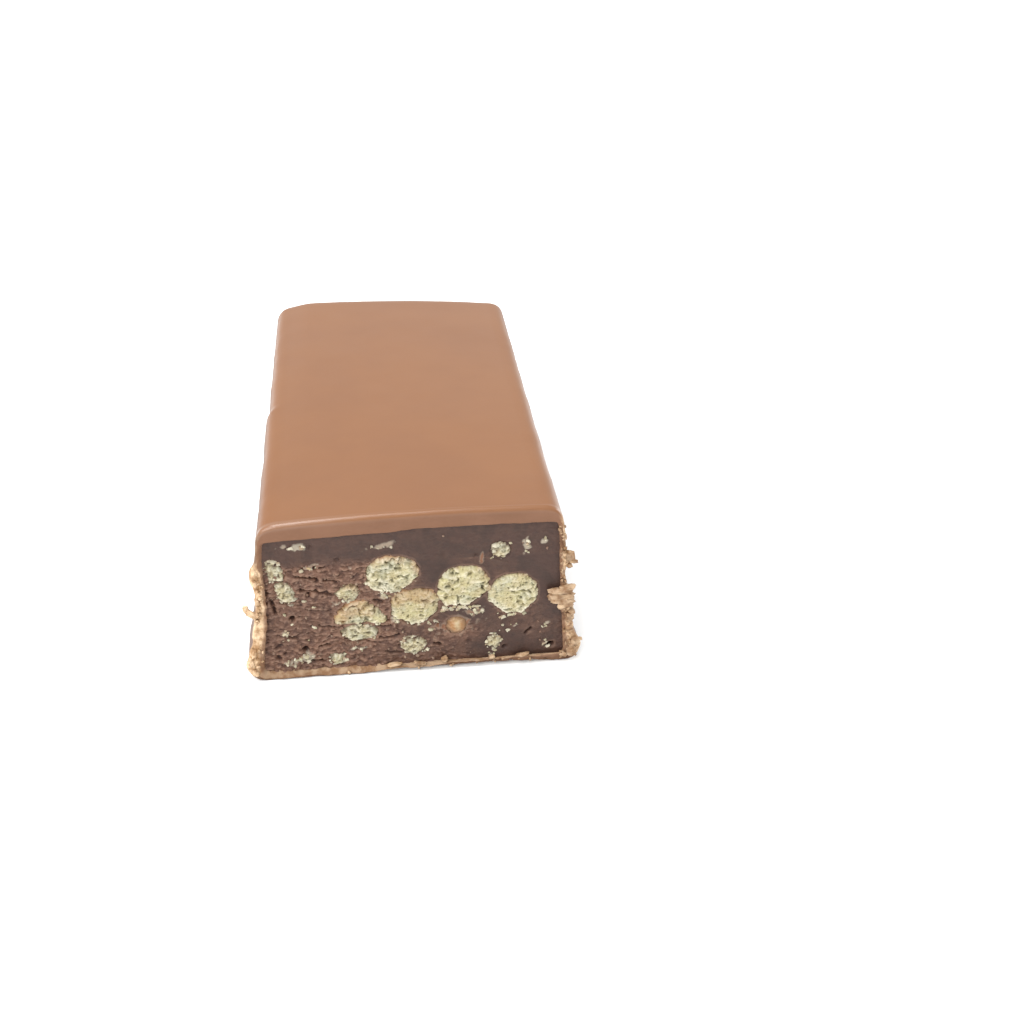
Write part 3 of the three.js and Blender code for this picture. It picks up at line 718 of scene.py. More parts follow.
def outline(crisp, angle):
    """Distance from a crisp's middle to its edge in each direction: a superellipse, cut by its breaks, times
    1 + a little noise round the edge."""
    local = angle - np.radians(crisp.turn)
    reach = (np.abs(np.cos(local) / crisp.wide) ** crisp.square
             + np.abs(np.sin(local) / crisp.high) ** crisp.square) ** (-1 / crisp.square)
    for direction, distance in crisp.breaks:
        facing = np.cos(angle - np.radians(direction))
        cut = distance * (crisp.wide + crisp.high) / 2 / np.maximum(facing, 1e-3)
        reach = np.where(facing > 0.02, np.minimum(reach, cut), reach)
    seed = 3.1 * crisp.x + 1.7 * crisp.z
    waves = ragged(1.6 * np.cos(angle) + seed, 1.6 * np.sin(angle), seed, 5)
    return reach * (1 + (0.07 + 0.11 * crisp.crumbly) * waves)


def face_level(x, z):
    """The broad shape of the cut face, without its small relief, shared by the filling and the crisps."""
    return FACE_RECESS + 0.10 * noise(x / 4.2, z / 3.1, 63)


print("crisps:", len(CRISPS))

# %% Torn foam
# Depth of the hollows, the bubbles, the grit and the level layers; size of a bubble's cell.
HOLLOW_DEPTH, BUBBLE_DEPTH, GRIT_DEPTH, LAYER_DEPTH = 0.28, 0.12, 0.06, 0.14
BUBBLE_CELL = 0.27
REACH_OUT = 1.16  # how far the disc goes past its outline, as a share
FOAM_CELL = 0.026  # spacing of the disc's grid
BALL_BEHIND = 0.9  # how far the middle of the ball lies behind the cut


def blurred(grid, reach):
    """The mean over a square window of 2 reach + 1 points, first along one axis and then the other."""
    for axis in (0, 1):
        wide = np.pad(grid, [(reach, reach) if axis == k else (0, 0) for k in (0, 1)], mode="edge")
        count = grid.shape[axis]
        steps = range(2 * reach + 1)
        grid = sum(np.take(wide, np.arange(count) + step, axis) for step in steps) / len(steps)
    return grid


def foam_depth(px, pz, seed, crumbly):
    """Depth of torn foam: irregular hollows where noise is high, small round bubbles, grit, level layers, and
    crumbs that are larger and deeper the more the crisp crumbled."""
    wx = px + 0.20 * noise(px / 0.4, pz / 0.4, seed)
    wz = pz + 0.16 * noise(px / 0.4, pz / 0.4, seed + 9)
    hollows = smooth(ragged(wx / 0.62, wz / 0.44, seed, 3), 0.06, 0.50)
    nearest, owner = cells(wx, wz, BUBBLE_CELL, seed + 5)
    bubbles = (1 - smooth(nearest, 0.0, 0.55)) * smooth(owner, -0.5, 0.8)
    grit = ragged(px / 0.18, pz / 0.15, seed + 15, 2)
    size = 0.95 - 0.35 * crumbly
    coarse = ragged(px / size, pz / size, seed, 4)
    level = ragged(px / 0.9, pz / 0.26, seed + 21, 3)
    crumbs = (0.14 + 0.45 * crumbly) * coarse
    sunk = HOLLOW_DEPTH * hollows + BUBBLE_DEPTH * bubbles
    return sunk - GRIT_DEPTH * grit - crumbs - LAYER_DEPTH * level


def disc(steps):
    """Distance from the middle, as a share of the outline, and direction of each point of a square grid laid
    onto a disc: the larger coordinate gives the distance, and the other one, as a share of it, the angle."""
    a, b = np.meshgrid(np.linspace(-1, 1, steps + 1), np.linspace(-1, 1, steps + 1), indexing="ij")
    radius = REACH_OUT * np.maximum(np.abs(a), np.abs(b))
    flat = np.abs(a) >= np.abs(b)
    angle = np.where(flat, np.where(a >= 0, 0, np.pi) + np.pi / 4 * b / np.where(a == 0, 1, a),
                     np.where(b >= 0, np.pi / 2, -np.pi / 2) - np.pi / 4 * a / np.where(b == 0, 1, b))
    return radius, angle


def ball_rings(crisp, size):
    """Functions that draw the border in along the ball behind the disc: by sqrt(1 - back^2) of its width."""
    def ball_ring(back):
        def ring(border):
            middle = (crisp.x, 0, crisp.z)
            drawn = np.array(middle) + (border - middle) * math.sqrt(1 - back ** 2)
            drawn[:, 1] = size * back + BALL_BEHIND
            return drawn
        return ring
    return [ball_ring(back) for back in (0.1, 0.5, 0.85)]


# %% Toast, pores and crests
def toasted_share(crisp, angle, torn, coarse):
    """How toasted each point is: most towards one direction, and most near the edge, both with noise."""
    direction, amount, start = crisp.toast
    toward = np.cos(angle - np.radians(direction)) + 0.5 * coarse
    toasted = amount * smooth(toward, -0.4, 1.2) * smooth(torn + 0.3 * coarse, start, start + 0.6)
    return toasted + amount * smooth(toward, 0.1, 0.6) * smooth(torn, 0.88, 0.98)


def foam_masks(crisp, px, pz, seed, torn, relief):
    """Pores lie deeper than their surroundings and are darkened as painted shade. Crests lie higher and are
    lightened as a painted highlight; pale powder gathers near the broken edge and on the lower side, and pale
    blooms are scattered. The foam is yellow where it isn't grey."""
    local = relief - blurred(relief, 7)
    grey = smooth(ragged(px / 1.3, pz / 0.9, seed + 13, 3), -0.3, 0.3)
    lower = smooth(-pz / crisp.high, 0.0, 0.7)
    bloom = smooth(ragged(px / 1.1, pz / 0.8, seed + 41, 3), 0.02, 0.45)
    powder = smooth(torn, 0.70, 0.95) * (0.35 + 0.65 * lower)
    crest = smooth(-local, 0.0, 0.14) * (0.45 + 0.55 * powder) + 0.6 * powder * lower + 0.35 * bloom
    return {
        "pore": smooth(local, 0.0, 0.20) * (0.60 + 0.40 * grey),
        "crest": np.clip(crest, 0, 1),
        "yellow": crisp.yellow * (1 - 0.8 * grey),
    }


# %% One crisp: its disc, its ball and its masks
# How far torn foam stands out of the face, how much less a crumbled one does, and how far its edge dips and
# then drops under the filling; how far a whole crisp stands out, and how far its dome drops to the edge.
FOAM_STAND, CRUMBLED_SINK, EDGE_DIP, EDGE_DROP = 0.30, 0.20, 0.34, 1.1
DOME_STAND, DOME_DROP = 0.25, 0.42


def crisp_piece(crisp, whole):
    """A front grid whose depth is foam, and rings that close the ball behind it. A whole crisp shows a smooth
    toasted dome, a parabola, instead of torn foam."""
    size = (crisp.wide + crisp.high) / 2
    steps = int(np.clip(round(size * REACH_OUT / FOAM_CELL), 30, 108))
    radius, angle = disc(steps)
    reach = outline(crisp, angle) * radius
    px, pz = reach * np.cos(angle), reach * np.sin(angle)
    seed = round(7 * crisp.x + 3 * crisp.z, 3)
    torn = radius + (0.10 + 0.10 * crisp.crumbly) * ragged(px / 0.45, pz / 0.45, seed + 3, 4)
    coarse = ragged(px / 0.8, pz / 0.8, seed + 17, 4)
    relief = foam_depth(px, pz, seed, crisp.crumbly)
    level = face_level(crisp.x + px, crisp.z + pz)

    if whole:
        depth = level - DOME_STAND + DOME_DROP * radius ** 2 + 0.15 * relief
        # The toast is taken away in a tall oval near the middle, which leaves a painted highlight.
        toasted = 1.2 + 0.5 * coarse - 0.75 * hump(px, 0.1, 0.40) * hump(pz, 0.1, 0.65)
        soil = 0.95 * smooth(radius + 0.3 * coarse, 0.35, 0.9)
    else:
        depth = level - FOAM_STAND + CRUMBLED_SINK * crisp.crumbly + relief
        depth = depth + EDGE_DIP * smooth(torn, 0.88 - 0.4 * crisp.crumbly, 1.0)
        depth = depth + EDGE_DROP * smooth(torn, 0.98, REACH_OUT)
        toasted = toasted_share(crisp, angle, torn, coarse)
        soil = crisp.crumbly * (0.12 + smooth(depth - level, -0.15, 0.12))
        # Near the broken edge the foam is darkened: partly filling smeared over it, partly painted shade
        # where it meets the filling.
        soil = soil + 0.6 * smooth(torn, 0.90, 1.02)

    grids = {"toast": np.clip(toasted, 0, 1), "soil": np.clip(soil, 0, 1)}
    grids.update(foam_masks(crisp, px, pz, seed, torn, relief))
    front = np.stack([crisp.x + px, depth, crisp.z + pz], axis=-1)
    points, faces = fronted_block(front, ball_rings(crisp, size), (crisp.x, size + BALL_BEHIND, crisp.z))
    behind = len(points) - radius.size
    masks = {key: np.concatenate([grid.ravel(), np.full(behind, grid[0, 0])]) for key, grid in grids.items()}
    return points, faces, masks


crisp_pieces = {}
for name, crisp in CRISPS.items():
    whole = name == "crisp_toasted"
    points, faces, masks = crisp_piece(crisp, whole)
    crisp_pieces[name] = make_piece("foam_" + name, points, faces, masks)
    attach(crisp_pieces[name], "root")
    node = "crisp_split" if name.startswith("crisp_split") else name
    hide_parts(node)

# %% [markdown]
# The filling is one dense piece, and its cut face carries the story of the knife: smooth and dark where the
# mass was smeared, torn in short level cracks where it crumbled, and hollowed where a crisp sits. The face is
# a fine grid whose depth is the sum of those effects, and a coarse box behind it closes the piece.

# %% Tears, pits and scraps in the cut face
# x and z of both ends, half-width and depth of each tear.
TEARS = [
    (-11.2, 12.0, -9.3, 11.3, 0.12, 0.6), (-8.7, 11.3, -7.5, 11.0, 0.10, 0.5),
    (-11.0, 10.2, -7.5, 9.6, 0.10, 0.45), (-10.6, 7.9, -8.2, 7.7, 0.08, 0.35),
    (-13.9, 9.2, -13.6, 7.8, 0.14, 0.5), (11.2, 3.45, 11.7, 4.1, 0.11, 0.6),
    (-3.9, 8.6, -3.2, 8.3, 0.16, 0.4), (-3.4, 6.5, -2.6, 5.9, 0.12, 0.4),
    (-9.6, 3.3, -8.6, 3.5, 0.10, 0.4), (13.3, 1.8, 13.9, 1.75, 0.15, 0.6),
    (1.9, 3.0, 2.5, 2.7, 0.12, 0.45), (-10.6, 1.5, -9.2, 1.4, 0.12, 0.5),
    (-12.6, 4.7, -11.7, 4.6, 0.10, 0.35), (-10.0, 12.6, -8.6, 12.8, 0.10, 0.35),
    (-9.4, 5.9, -7.9, 5.6, 0.08, 0.35), (-12.2, 8.5, -11.0, 8.6, 0.08, 0.3),
    (-3.6, 3.9, -1.6, 4.2, 0.09, 0.4), (-3.0, 2.2, -1.4, 2.0, 0.09, 0.35),
    (-7.0, 3.9, -4.6, 3.7, 0.10, 0.4), (-4.6, 5.2, -2.4, 5.3, 0.09, 0.35),
]
# x, z, half-width and depth of each pit.
PITS = [
    (-12.0, 7.0, 0.22, 0.6), (-11.0, 3.0, 0.24, 0.6), (-1.6, 2.9, 0.2, 0.5), (13.8, 1.8, 0.22, 0.45),
    (-13.5, 3.7, 0.3, 0.5), (-13.7, 2.2, 0.22, 0.45), (-10.3, 9.6, 0.2, 0.4), (-8.9, 9.4, 0.2, 0.4),
    (3.0, 13.6, 0.3, 0.2), (6.2, 13.2, 0.3, 0.2), (-7.3, 13.5, 0.22, 0.25), (2.4, 5.3, 0.22, 0.35),
    (-13.0, 2.6, 0.2, 0.4), (9.0, 1.9, 0.22, 0.4), (5.4, 2.8, 0.25, 0.25), (-9.8, 15.2, 0.3, 0.25),
    (8.55, 13.75, 0.26, 0.5), (8.05, 2.9, 0.2, 0.4),
]
# Pale scraps pressed into the face: x, z, half-width, half-height, turn, and how tanned they are.
SMEARS = [
    (-11.0, 15.30, 0.85, 0.38, -6, 0.0), (-12.4, 15.35, 0.5, 0.25, 8, 0.3),
    (-3.0, 14.90, 1.25, 0.30, 18, 0.35), (11.1, 14.15, 0.42, 0.95, 12, 0.1),
    (12.95, 14.7, 0.45, 0.35, 30, 0.0), (6.7, 12.70, 0.20, 0.8, -8, 1.0),
    (-12.3, 1.55, 0.95, 0.40, 6, 0.1), (-10.85, 1.95, 0.75, 0.55, 20, 0.0),
    (5.95, 6.55, 0.95, 0.45, 12, 0.8), (-2.9, 8.95, 0.40, 0.3, 0, 0.2), (-5.6, 2.85, 0.85, 0.30, 14, 0.1),
    (2.0, 3.55, 0.30, 0.25, 20, 1.0), (-10.0, 12.9, 0.7, 0.3, 10, 0.5), (-12.9, 5.1, 0.4, 0.5, 10, 0.5),
    (13.3, 4.5, 0.5, 0.25, 30, 0.1), (10.1, 4.5, 0.4, 0.2, 20, 0.1), (-6.0, 12.5, 0.25, 0.2, 0, 0.2),
    (1.6, 4.75, 0.32, 0.22, 25, 0.8), (-1.9, 6.3, 0.5, 0.5, 0, 0.0), (-7.7, 8.5, 0.5, 0.35, 30, 0.1),
    (4.1, 5.0, 2.1, 1.15, 5, 1.0), (7.7, 0.95, 0.35, 0.35, 0, 0.1),
]
print("tears:", len(TEARS), "pits:", len(PITS), "scraps:", len(SMEARS))

# %% The depth of the cut face
CLOD_SIZE = 0.40
CLOD_STAND = 0.17
CRACK_DEPTH = 0.19
TEAR_WOBBLE = 0.14
SCRAP_STAND, TANNED_STAND = 0.10, 0.04
CRISP_HOLLOW = 0.9
CRUMBLED_HOLLOW = 0.12


def torn_layers(x, z, crumbly):
    """The relief of the mass: level cracks where a ridged noise is near zero, less clods round scattered
    points, both as strong as the mass is crumbly, and fine grit all over."""
    bend = z + 0.30 * noise(x / 1.6, z / 1.2, 65)
    ridges = 1 - np.abs(ragged(x / 1.1, bend / 0.36, 67, 4)) * 2.4
    nearest, owner = cells(x + 0.2 * noise(x, z * 2, 3), bend * 1.5, CLOD_SIZE, 71)
    clod = smooth(1.0 - nearest, 0.0, 0.9) * (0.55 + 0.45 * owner)
    depth = face_level(x, z) + crumbly * (CRACK_DEPTH * smooth(ridges, 0.3, 1.0) - CLOD_STAND * clod)
    return depth - (0.015 + 0.10 * crumbly) * ragged(x / 0.34, z / 0.24, 73, 3)


def face_depth(x, z):
    """How far the cut face lies behind the plane of the cut: its level and torn layers, bell-shaped grooves
    along the tears and in the pits, and a hollow under each crisp. Also the masks of crumbliness, and of pale
    and tanned scraps."""
    loose = (1 - smooth(x, -4.5, 1.5)) * (1 - smooth(z, 11.8, 14.2))
    low = (1 - smooth(z, 4.2, 6.4)) * (1 - smooth(x, 3.5, 7.5))
    crumbly = 0.16 + 0.84 * np.maximum(loose, 0.75 * low)
    crumbly = np.clip(crumbly + 0.30 * noise(x / 3, z / 2.2, 61) * (z < 13), 0.08, 1)
    depth = torn_layers(x, z, crumbly)
    wobble = TEAR_WOBBLE * noise(x / 0.5, z / 0.5, 75)
    for x0, z0, x1, z1, width, deep in TEARS:
        along_x, along_z = x1 - x0, z1 - z0
        t = np.clip(((x - x0) * along_x + (z - z0) * along_z) / (along_x ** 2 + along_z ** 2), 0, 1)
        away = np.hypot(x - x0 - t * along_x, z - z0 - t * along_z + wobble)
        depth = depth + deep * hump(away, 0, width)
    for px, pz, width, deep in PITS:
        depth = depth + deep * hump(np.hypot(x - px, z - pz) + wobble, 0, width)
    pale, tan = np.zeros(np.shape(x)), np.zeros(np.shape(x))
    speckle = ragged(x / 0.45, z / 0.40, 79, 4)
    for px, pz, wide, high, turn, tanned in SMEARS:
        c, s = np.cos(np.radians(turn)), np.sin(np.radians(turn))
        u, v = ((x - px) * c + (z - pz) * s) / wide, ((z - pz) * c - (x - px) * s) / high
        spot = smooth(1.15 - np.hypot(u, v) + 1.1 * speckle, 0.15, 0.80)
        pale, tan = np.maximum(pale, spot), np.maximum(tan, spot * tanned)
    depth = depth - SCRAP_STAND * pale * (1 - tan) - TANNED_STAND * tan
    for crisp in CRISPS.values():
        angle = np.arctan2(z - crisp.z, x - crisp.x)
        inside = np.hypot(x - crisp.x, z - crisp.z) / outline(crisp, angle)
        hollow = CRUMBLED_HOLLOW if crisp.crumbly > 0.7 else CRISP_HOLLOW
        depth = depth + hollow * (1 - smooth(inside + 0.05 * speckle, 0.82, 0.98))
    return depth, crumbly, pale, tan


print("deepest tear:", max(tear[-1] for tear in TEARS), "mm")

# %% The cut face of the filling
FACE_COLUMNS, FACE_ROWS = 392, 212
REACH_IN = 0.3  # how far the filling reaches into the coating, so that no gap shows
t = np.linspace(0, 1, FACE_ROWS)[None, :]  # up the face
s = np.linspace(-1, 1, FACE_COLUMNS)[:, None]  # across the face
low, high = FLOOR_THICKNESS - REACH_IN, HEIGHT - TOP_THICKNESS + REACH_IN
flat_z = low + t * (high - low)
reach = REACH_IN + np.where(s < 0, 0.22, 0.14) * smooth(flat_z, 12.8, 14.2)
face_x = s * (cavity_half_width(flat_z) + reach)
face_z = flat_z + roof(face_x, flat_z, 0)
deep, crumbly, pale, tan = face_depth(face_x, face_z)
local = deep - blurred(deep, 5)
# The deep places and local recesses are darkened as painted shade, and the local ridges are lightened as a
# painted highlight.
hollow = smooth(deep - FACE_RECESS, 0.22, 0.75) + 0.9 * smooth(local, 0.04, 0.22)
crest_highlight = smooth(-local, 0.02, 0.12)
print("depth of the cut face from", round(float(deep.min()), 2), "to", round(float(deep.max()), 2), "mm")

# %% The filling as one closed piece
def sleeve(y, draw):
    """A function that carries the border of the face to the distance y, drawn in by a share."""
    def ring(border):
        drawn = border * (draw, 0, 1) + (0, y, 0)
        drawn[:, 2] = HEIGHT / 2 + (border[:, 2] - HEIGHT / 2) * draw
        return drawn
    return ring


back = LENGTH - END_THICKNESS
filling_points, filling_faces = fronted_block(
    np.stack([face_x, deep, face_z], axis=-1),
    [sleeve(1.0, 0.98), sleeve(20, 0.95), sleeve(back - 0.4, 0.94), sleeve(back, 0.9)],
    (0, back, HEIGHT / 2))
rest = len(filling_points) - deep.size
face_masks = {"crumbly": crumbly, "hollow": np.clip(hollow, 0, 1), "raised": crest_highlight * (0.3 + 0.7 * crumbly),
              "pale": pale, "tan": tan}
filling = make_piece("filling_mass", filling_points, filling_faces, {
    name: np.concatenate([grid.ravel(), np.zeros(rest)]) for name, grid in face_masks.items()})
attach(filling, "root")
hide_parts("filling")

# %% [markdown]
# Small shards of crisp and crumbs of filling lie in the torn face. They are too small to be pieces of their
# own, so each kind is one mesh of many small lumps. The shards gather below and beside the crisps that
# broke, and the crumbs are scattered where the face is crumbly.

# %% Shards of crisp
# x, z, spread along x and z, and how many shards lie there.
SHARD_FIELDS = [
    (4.6, 7.15, 1.9, 0.22, 48), (6.3, 6.6, 0.7, 0.35, 14), (9.8, 5.95, 1.5, 0.20, 12),
    (-1.9, 6.3, 0.45, 0.6, 14), (1.0, 5.6, 1.1, 0.30, 14), (-2.4, 9.15, 1.2, 0.25, 10),
    (-5.4, 5.75, 2.1, 0.18, 16), (-5.5, 4.4, 1.6, 0.5, 20), (-5.6, 2.85, 0.7, 0.2, 7),
    (-6.8, 8.8, 0.7, 0.5, 9), (-0.1, 2.85, 1.4, 1.1, 26), (7.95, 2.7, 0.8, 1.1, 20),
    (8.6, 13.7, 0.95, 1.0, 20), (-7.85, 1.7, 0.9, 0.7, 16), (-10.9, 1.95, 0.8, 0.45, 14),
    (-12.3, 1.6, 0.9, 0.4, 14), (-12.6, 10.1, 0.9, 1.4, 12), (-13.2, 12.6, 0.7, 1.3, 12),
    (-11.2, 15.25, 0.8, 0.2, 5), (11.1, 14.1, 0.35, 0.8, 8), (-3.0, 14.85, 1.0, 0.15, 5),
    (12.9, 14.7, 0.3, 0.2, 3), (7.7, 1.0, 0.3, 0.4, 5), (1.6, 4.75, 0.25, 0.15, 4),
    (-2.9, 8.9, 0.3, 0.2, 3), (13.2, 4.4, 0.5, 0.3, 5), (-10.0, 12.8, 0.8, 0.3, 5),
    (13.5, 2.0, 0.5, 0.5, 5), (9.5, 4.2, 1.0, 0.6, 5), (-12.8, 5.0, 0.4, 0.6, 5),
    (-11.5, 6.5, 2.0, 2.5, 10),
]
dice = np.random.default_rng(43)
fields = np.repeat(np.array(SHARD_FIELDS)[:, :4], [int(row[4]) for row in SHARD_FIELDS], axis=0)
count = len(fields)
shard_x = fields[:, 0] + fields[:, 2] * dice.uniform(-1, 1, count)
shard_z = fields[:, 1] + fields[:, 3] * dice.uniform(-1, 1, count)
shard_deep = np.minimum(face_depth(shard_x, shard_z)[0], 0.45)
shard_size = dice.uniform(0.06, 0.17, (count, 1)) * dice.uniform(0.6, 1.4, (count, 3)) * (1.15, 0.8, 0.85)
shard_points, shard_faces = lumps_mesh(
    np.stack([shard_x, shard_deep - 0.02, shard_z], axis=-1), shard_size, dice.uniform(-35, 35, count),
    dice.uniform(0, 99, count), around=7, down=5, roughness=0.9, boxy=0.6)
each = len(shard_points) // count
face_shards = make_piece("face_shards", shard_points, shard_faces, {
    "toast": np.repeat(0.5 * (dice.uniform(0, 1, count) > 0.8), each), "pore": np.zeros(len(shard_points)),
    "yellow": np.repeat(dice.uniform(0, 0.5, count), each),
    "crest": np.repeat(dice.uniform(0, 0.9, count), each),
    "soil": np.repeat(dice.uniform(0.0, 0.7, count), each)})
face_shards.data.polygons.foreach_set("use_smooth", np.zeros(len(face_shards.data.polygons), bool))
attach(face_shards, "root")

# %% Crumbs of filling
CRUMBS = 620
dice = np.random.default_rng(47)
crumb_x = dice.uniform(-14.2, 14.0, CRUMBS)
crumb_z = dice.uniform(1.0, 16.2, CRUMBS)
crumb_deep, crumb_loose, _, _ = face_depth(crumb_x, crumb_z)
keep = (dice.uniform(0, 1, CRUMBS) < crumb_loose - 0.12) & (crumb_deep < 0.8)
crumb_centres = np.stack([crumb_x, crumb_deep, crumb_z], axis=-1)[keep]
count = len(crumb_centres)
crumb_size = dice.uniform(0.04, 0.14, (count, 1)) * dice.uniform(0.7, 1.4, (count, 3))
points, faces = lumps_mesh(crumb_centres, crumb_size, dice.uniform(0, 180, count), dice.uniform(0, 99, count),
                           around=7, down=5, roughness=0.8, boxy=0.65)
each = len(points) // count
lightness = np.repeat(dice.uniform(0, 1, count) ** 1.5, each)
face_crumbs = make_piece("face_crumbs", points, faces, {
    "crumbly": np.ones(len(points)), "hollow": np.zeros(len(points)), "raised": 0.4 + 0.6 * lightness,
    "pale": 0.35 * lightness, "tan": np.zeros(len(points))})
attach(face_crumbs, "root")

# %% [markdown]
# Every finish here needs the same two things: a colour that is never quite even, and a fine grain that
# catches the light. Each is a node group with named sockets, so a material only states its own colours and
# scales. Both read object coordinates, which stay put on the piece.

# %% Making nodes
def node(tree, kind, settings=(), inputs=()):
    """A node with its settings and input values; an input that is another node's output is linked."""
    made = tree.nodes.new("ShaderNode" + kind)
    for key, value in dict(settings).items():
        setattr(made, key, value)
    for key, value in dict(inputs).items():
        if isinstance(value, bpy.types.NodeSocket):
            tree.links.new(value, made.inputs[key])
        else:
            made.inputs[key].default_value = value
    return made


def blend(tree, factor, low, high):
    """A colour between low and high by factor."""
    mix = node(tree, "Mix", {"data_type": "RGBA"}, {"Factor": factor, 6: low, 7: high})
    return mix.outputs[2]


def math_node(tree, operation, a, b, clamp=False):
    """The result of one sum of two values."""
    made = node(tree, "Math", {"operation": operation, "use_clamp": clamp}, {0: a, 1: b})
    return made.outputs[0]


def mask_value(tree, name):
    """A mask that is stored on the points of a piece."""
    return node(tree, "Attribute", {"attribute_name": name}).outputs["Fac"]


def group(name, inputs, outputs):
    """A node group with named inputs, as (name, kind, value), and outputs, as (name, kind)."""
    tree = bpy.data.node_groups.new(name, "ShaderNodeTree")
    for socket, kind, value in inputs:
        made = tree.interface.new_socket(socket, in_out="INPUT", socket_type=kind)
        made.default_value = value
    for socket, kind in outputs:
        tree.interface.new_socket(socket, in_out="OUTPUT", socket_type=kind)
    return tree, tree.nodes.new("NodeGroupInput"), tree.nodes.new("NodeGroupOutput")


print("node helpers ready")

# %% A patchy colour
patchy, source, sink = group("patchy_colour", [
    ("Colour", "NodeSocketColor", (0.5, 0.5, 0.5, 1)),
    ("Patch Colour", "NodeSocketColor", (0.4, 0.4, 0.4, 1)),
    ("Scale", "NodeSocketFloat", 300.0),
    ("Sharpness", "NodeSocketFloat", 0.2),
], [("Colour", "NodeSocketColor")])
cloud = node(patchy, "TexNoise", (), {
    "Vector": node(patchy, "TexCoord").outputs["Object"], "Scale": source.outputs["Scale"],
    "Detail": 4.0, "Roughness": 0.6})
spread = node(patchy, "MapRange", {"interpolation_type": "SMOOTHSTEP"}, {
    "Value": cloud.outputs["Fac"],
    "From Min": math_node(patchy, "ADD", 0.30, source.outputs["Sharpness"]),
    "From Max": math_node(patchy, "SUBTRACT", 0.72, source.outputs["Sharpness"])})
mixed = blend(patchy, spread.outputs["Result"], source.outputs["Colour"], source.outputs["Patch Colour"])
patchy.links.new(mixed, sink.inputs["Colour"])
print("node group:", patchy.name)

# %% A fine grain
grain, source, sink = group("fine_grain", [
    ("Scale", "NodeSocketFloat", 4000.0),
    ("Height", "NodeSocketFloat", 0.00003),
    ("Strength", "NodeSocketFloat", 0.5),
], [("Normal", "NodeSocketVector")])
rough_noise = node(grain, "TexNoise", (), {
    "Vector": node(grain, "TexCoord").outputs["Object"], "Scale": source.outputs["Scale"],
    "Detail": 3.0, "Roughness": 0.65})
bump = node(grain, "Bump", (), {
    "Strength": source.outputs["Strength"], "Distance": source.outputs["Height"],
    "Height": rough_noise.outputs["Fac"]})
grain.links.new(bump.outputs["Normal"], sink.inputs["Normal"])
print("node group:", grain.name)

# %% Small helpers for the materials
def rgb(red, green, blue):
    """A screen colour of 0 to 255 as the linear light that a shader wants."""
    value = np.array([red, green, blue]) / 255
    linear = np.where(value <= 0.04045, value / 12.92, ((value + 0.055) / 1.055) ** 2.4)
    return (*(float(v) for v in linear), 1.0)


def new_material(name):
    """A material with a Principled BSDF alone; the material, its nodes and that shader."""
    material = bpy.data.materials.new(name)
    material.use_nodes = True
    tree = material.node_tree
    tree.nodes.clear()
    shader = node(tree, "BsdfPrincipled")
    node(tree, "OutputMaterial", (), {"Surface": shader.outputs["BSDF"]})
    return material, tree, shader


def patches(tree, colour, patch, scale, sharpness):
    """A colour with soft patches of another one."""
    made = node(tree, "Group", {"node_tree": patchy}, {
        "Colour": colour, "Patch Colour": patch, "Scale": scale, "Sharpness": sharpness})
    return made.outputs["Colour"]


def layered(tree, colour, layers):
    """A colour with others laid over it in turn, each where its mask is 1 and by no more than its amount."""
    for mask, amount, over in layers:
        colour = blend(tree, math_node(tree, "MULTIPLY", mask_value(tree, mask), amount), colour, over)
    return colour


def dress(pieces, material, shader, colour, grain_scale, grain_height, grain_strength):
    """Links a colour and a grain to the material's shader, and puts the material on its pieces."""
    tree = material.node_tree
    made = node(tree, "Group", {"node_tree": grain}, {
        "Scale": grain_scale, "Height": grain_height, "Strength": grain_strength})
    tree.links.new(colour, shader.inputs["Base Color"])
    tree.links.new(made.outputs["Normal"], shader.inputs["Normal"])
    for piece in pieces:
        piece.data.materials.append(material)
    print(material.name, "on", len(pieces), "pieces")


print("mid brown in linear light:", [round(v, 3) for v in rgb(168, 120, 92)])

# %% [markdown]
# Milk chocolate has several faces here. On top it set undisturbed, and a thin coat gives it a soft satin
# gloss. The knife polished the lip where it entered, so the coat is strongest there, and smeared the cut top
# band. The walls are duller, greyed a little by a painted sheen, and lighter where they bulge, which is a
# painted sheen too. The broken rim is pale and matt, because broken cocoa fat scatters light. Painted shade
# darkens its pits, creases and inner line, and the base under its ridge. Masks stored on the points choose
# between them.

# %% Milk chocolate
TOP_BROWN = rgb(122, 82, 52)
TOP_PATCH = rgb(118, 79, 51)
# The wall brown is the coating's own duller brown, greyed a little as a painted sheen of the white table.
WALL_BROWN_AND_SHEEN = rgb(98, 76, 64)
WALL_PAINTED_SHEEN = rgb(109, 87, 75)
CUT_BROWN = rgb(120, 87, 68)
CUT_PATCH = rgb(114, 82, 63)
RIM_PALE = rgb(214, 186, 153)
RIM_SPECK = rgb(154, 120, 86)
RIM_PIT_AND_SHADE = rgb(70, 46, 32)

chocolate, tree, shader = new_material("milk_chocolate_satin")
top_colour = patches(tree, TOP_BROWN, TOP_PATCH, scale=90.0, sharpness=0.0)
# Where the walls bulge they are lightened as a painted sheen.
wall_colour = blend(tree, mask_value(tree, "rubbed"), WALL_BROWN_AND_SHEEN, WALL_PAINTED_SHEEN)
cut_colour = patches(tree, CUT_BROWN, CUT_PATCH, scale=260.0, sharpness=0.05)
rim_colour = patches(tree, RIM_PALE, RIM_SPECK, scale=1100.0, sharpness=0.08)
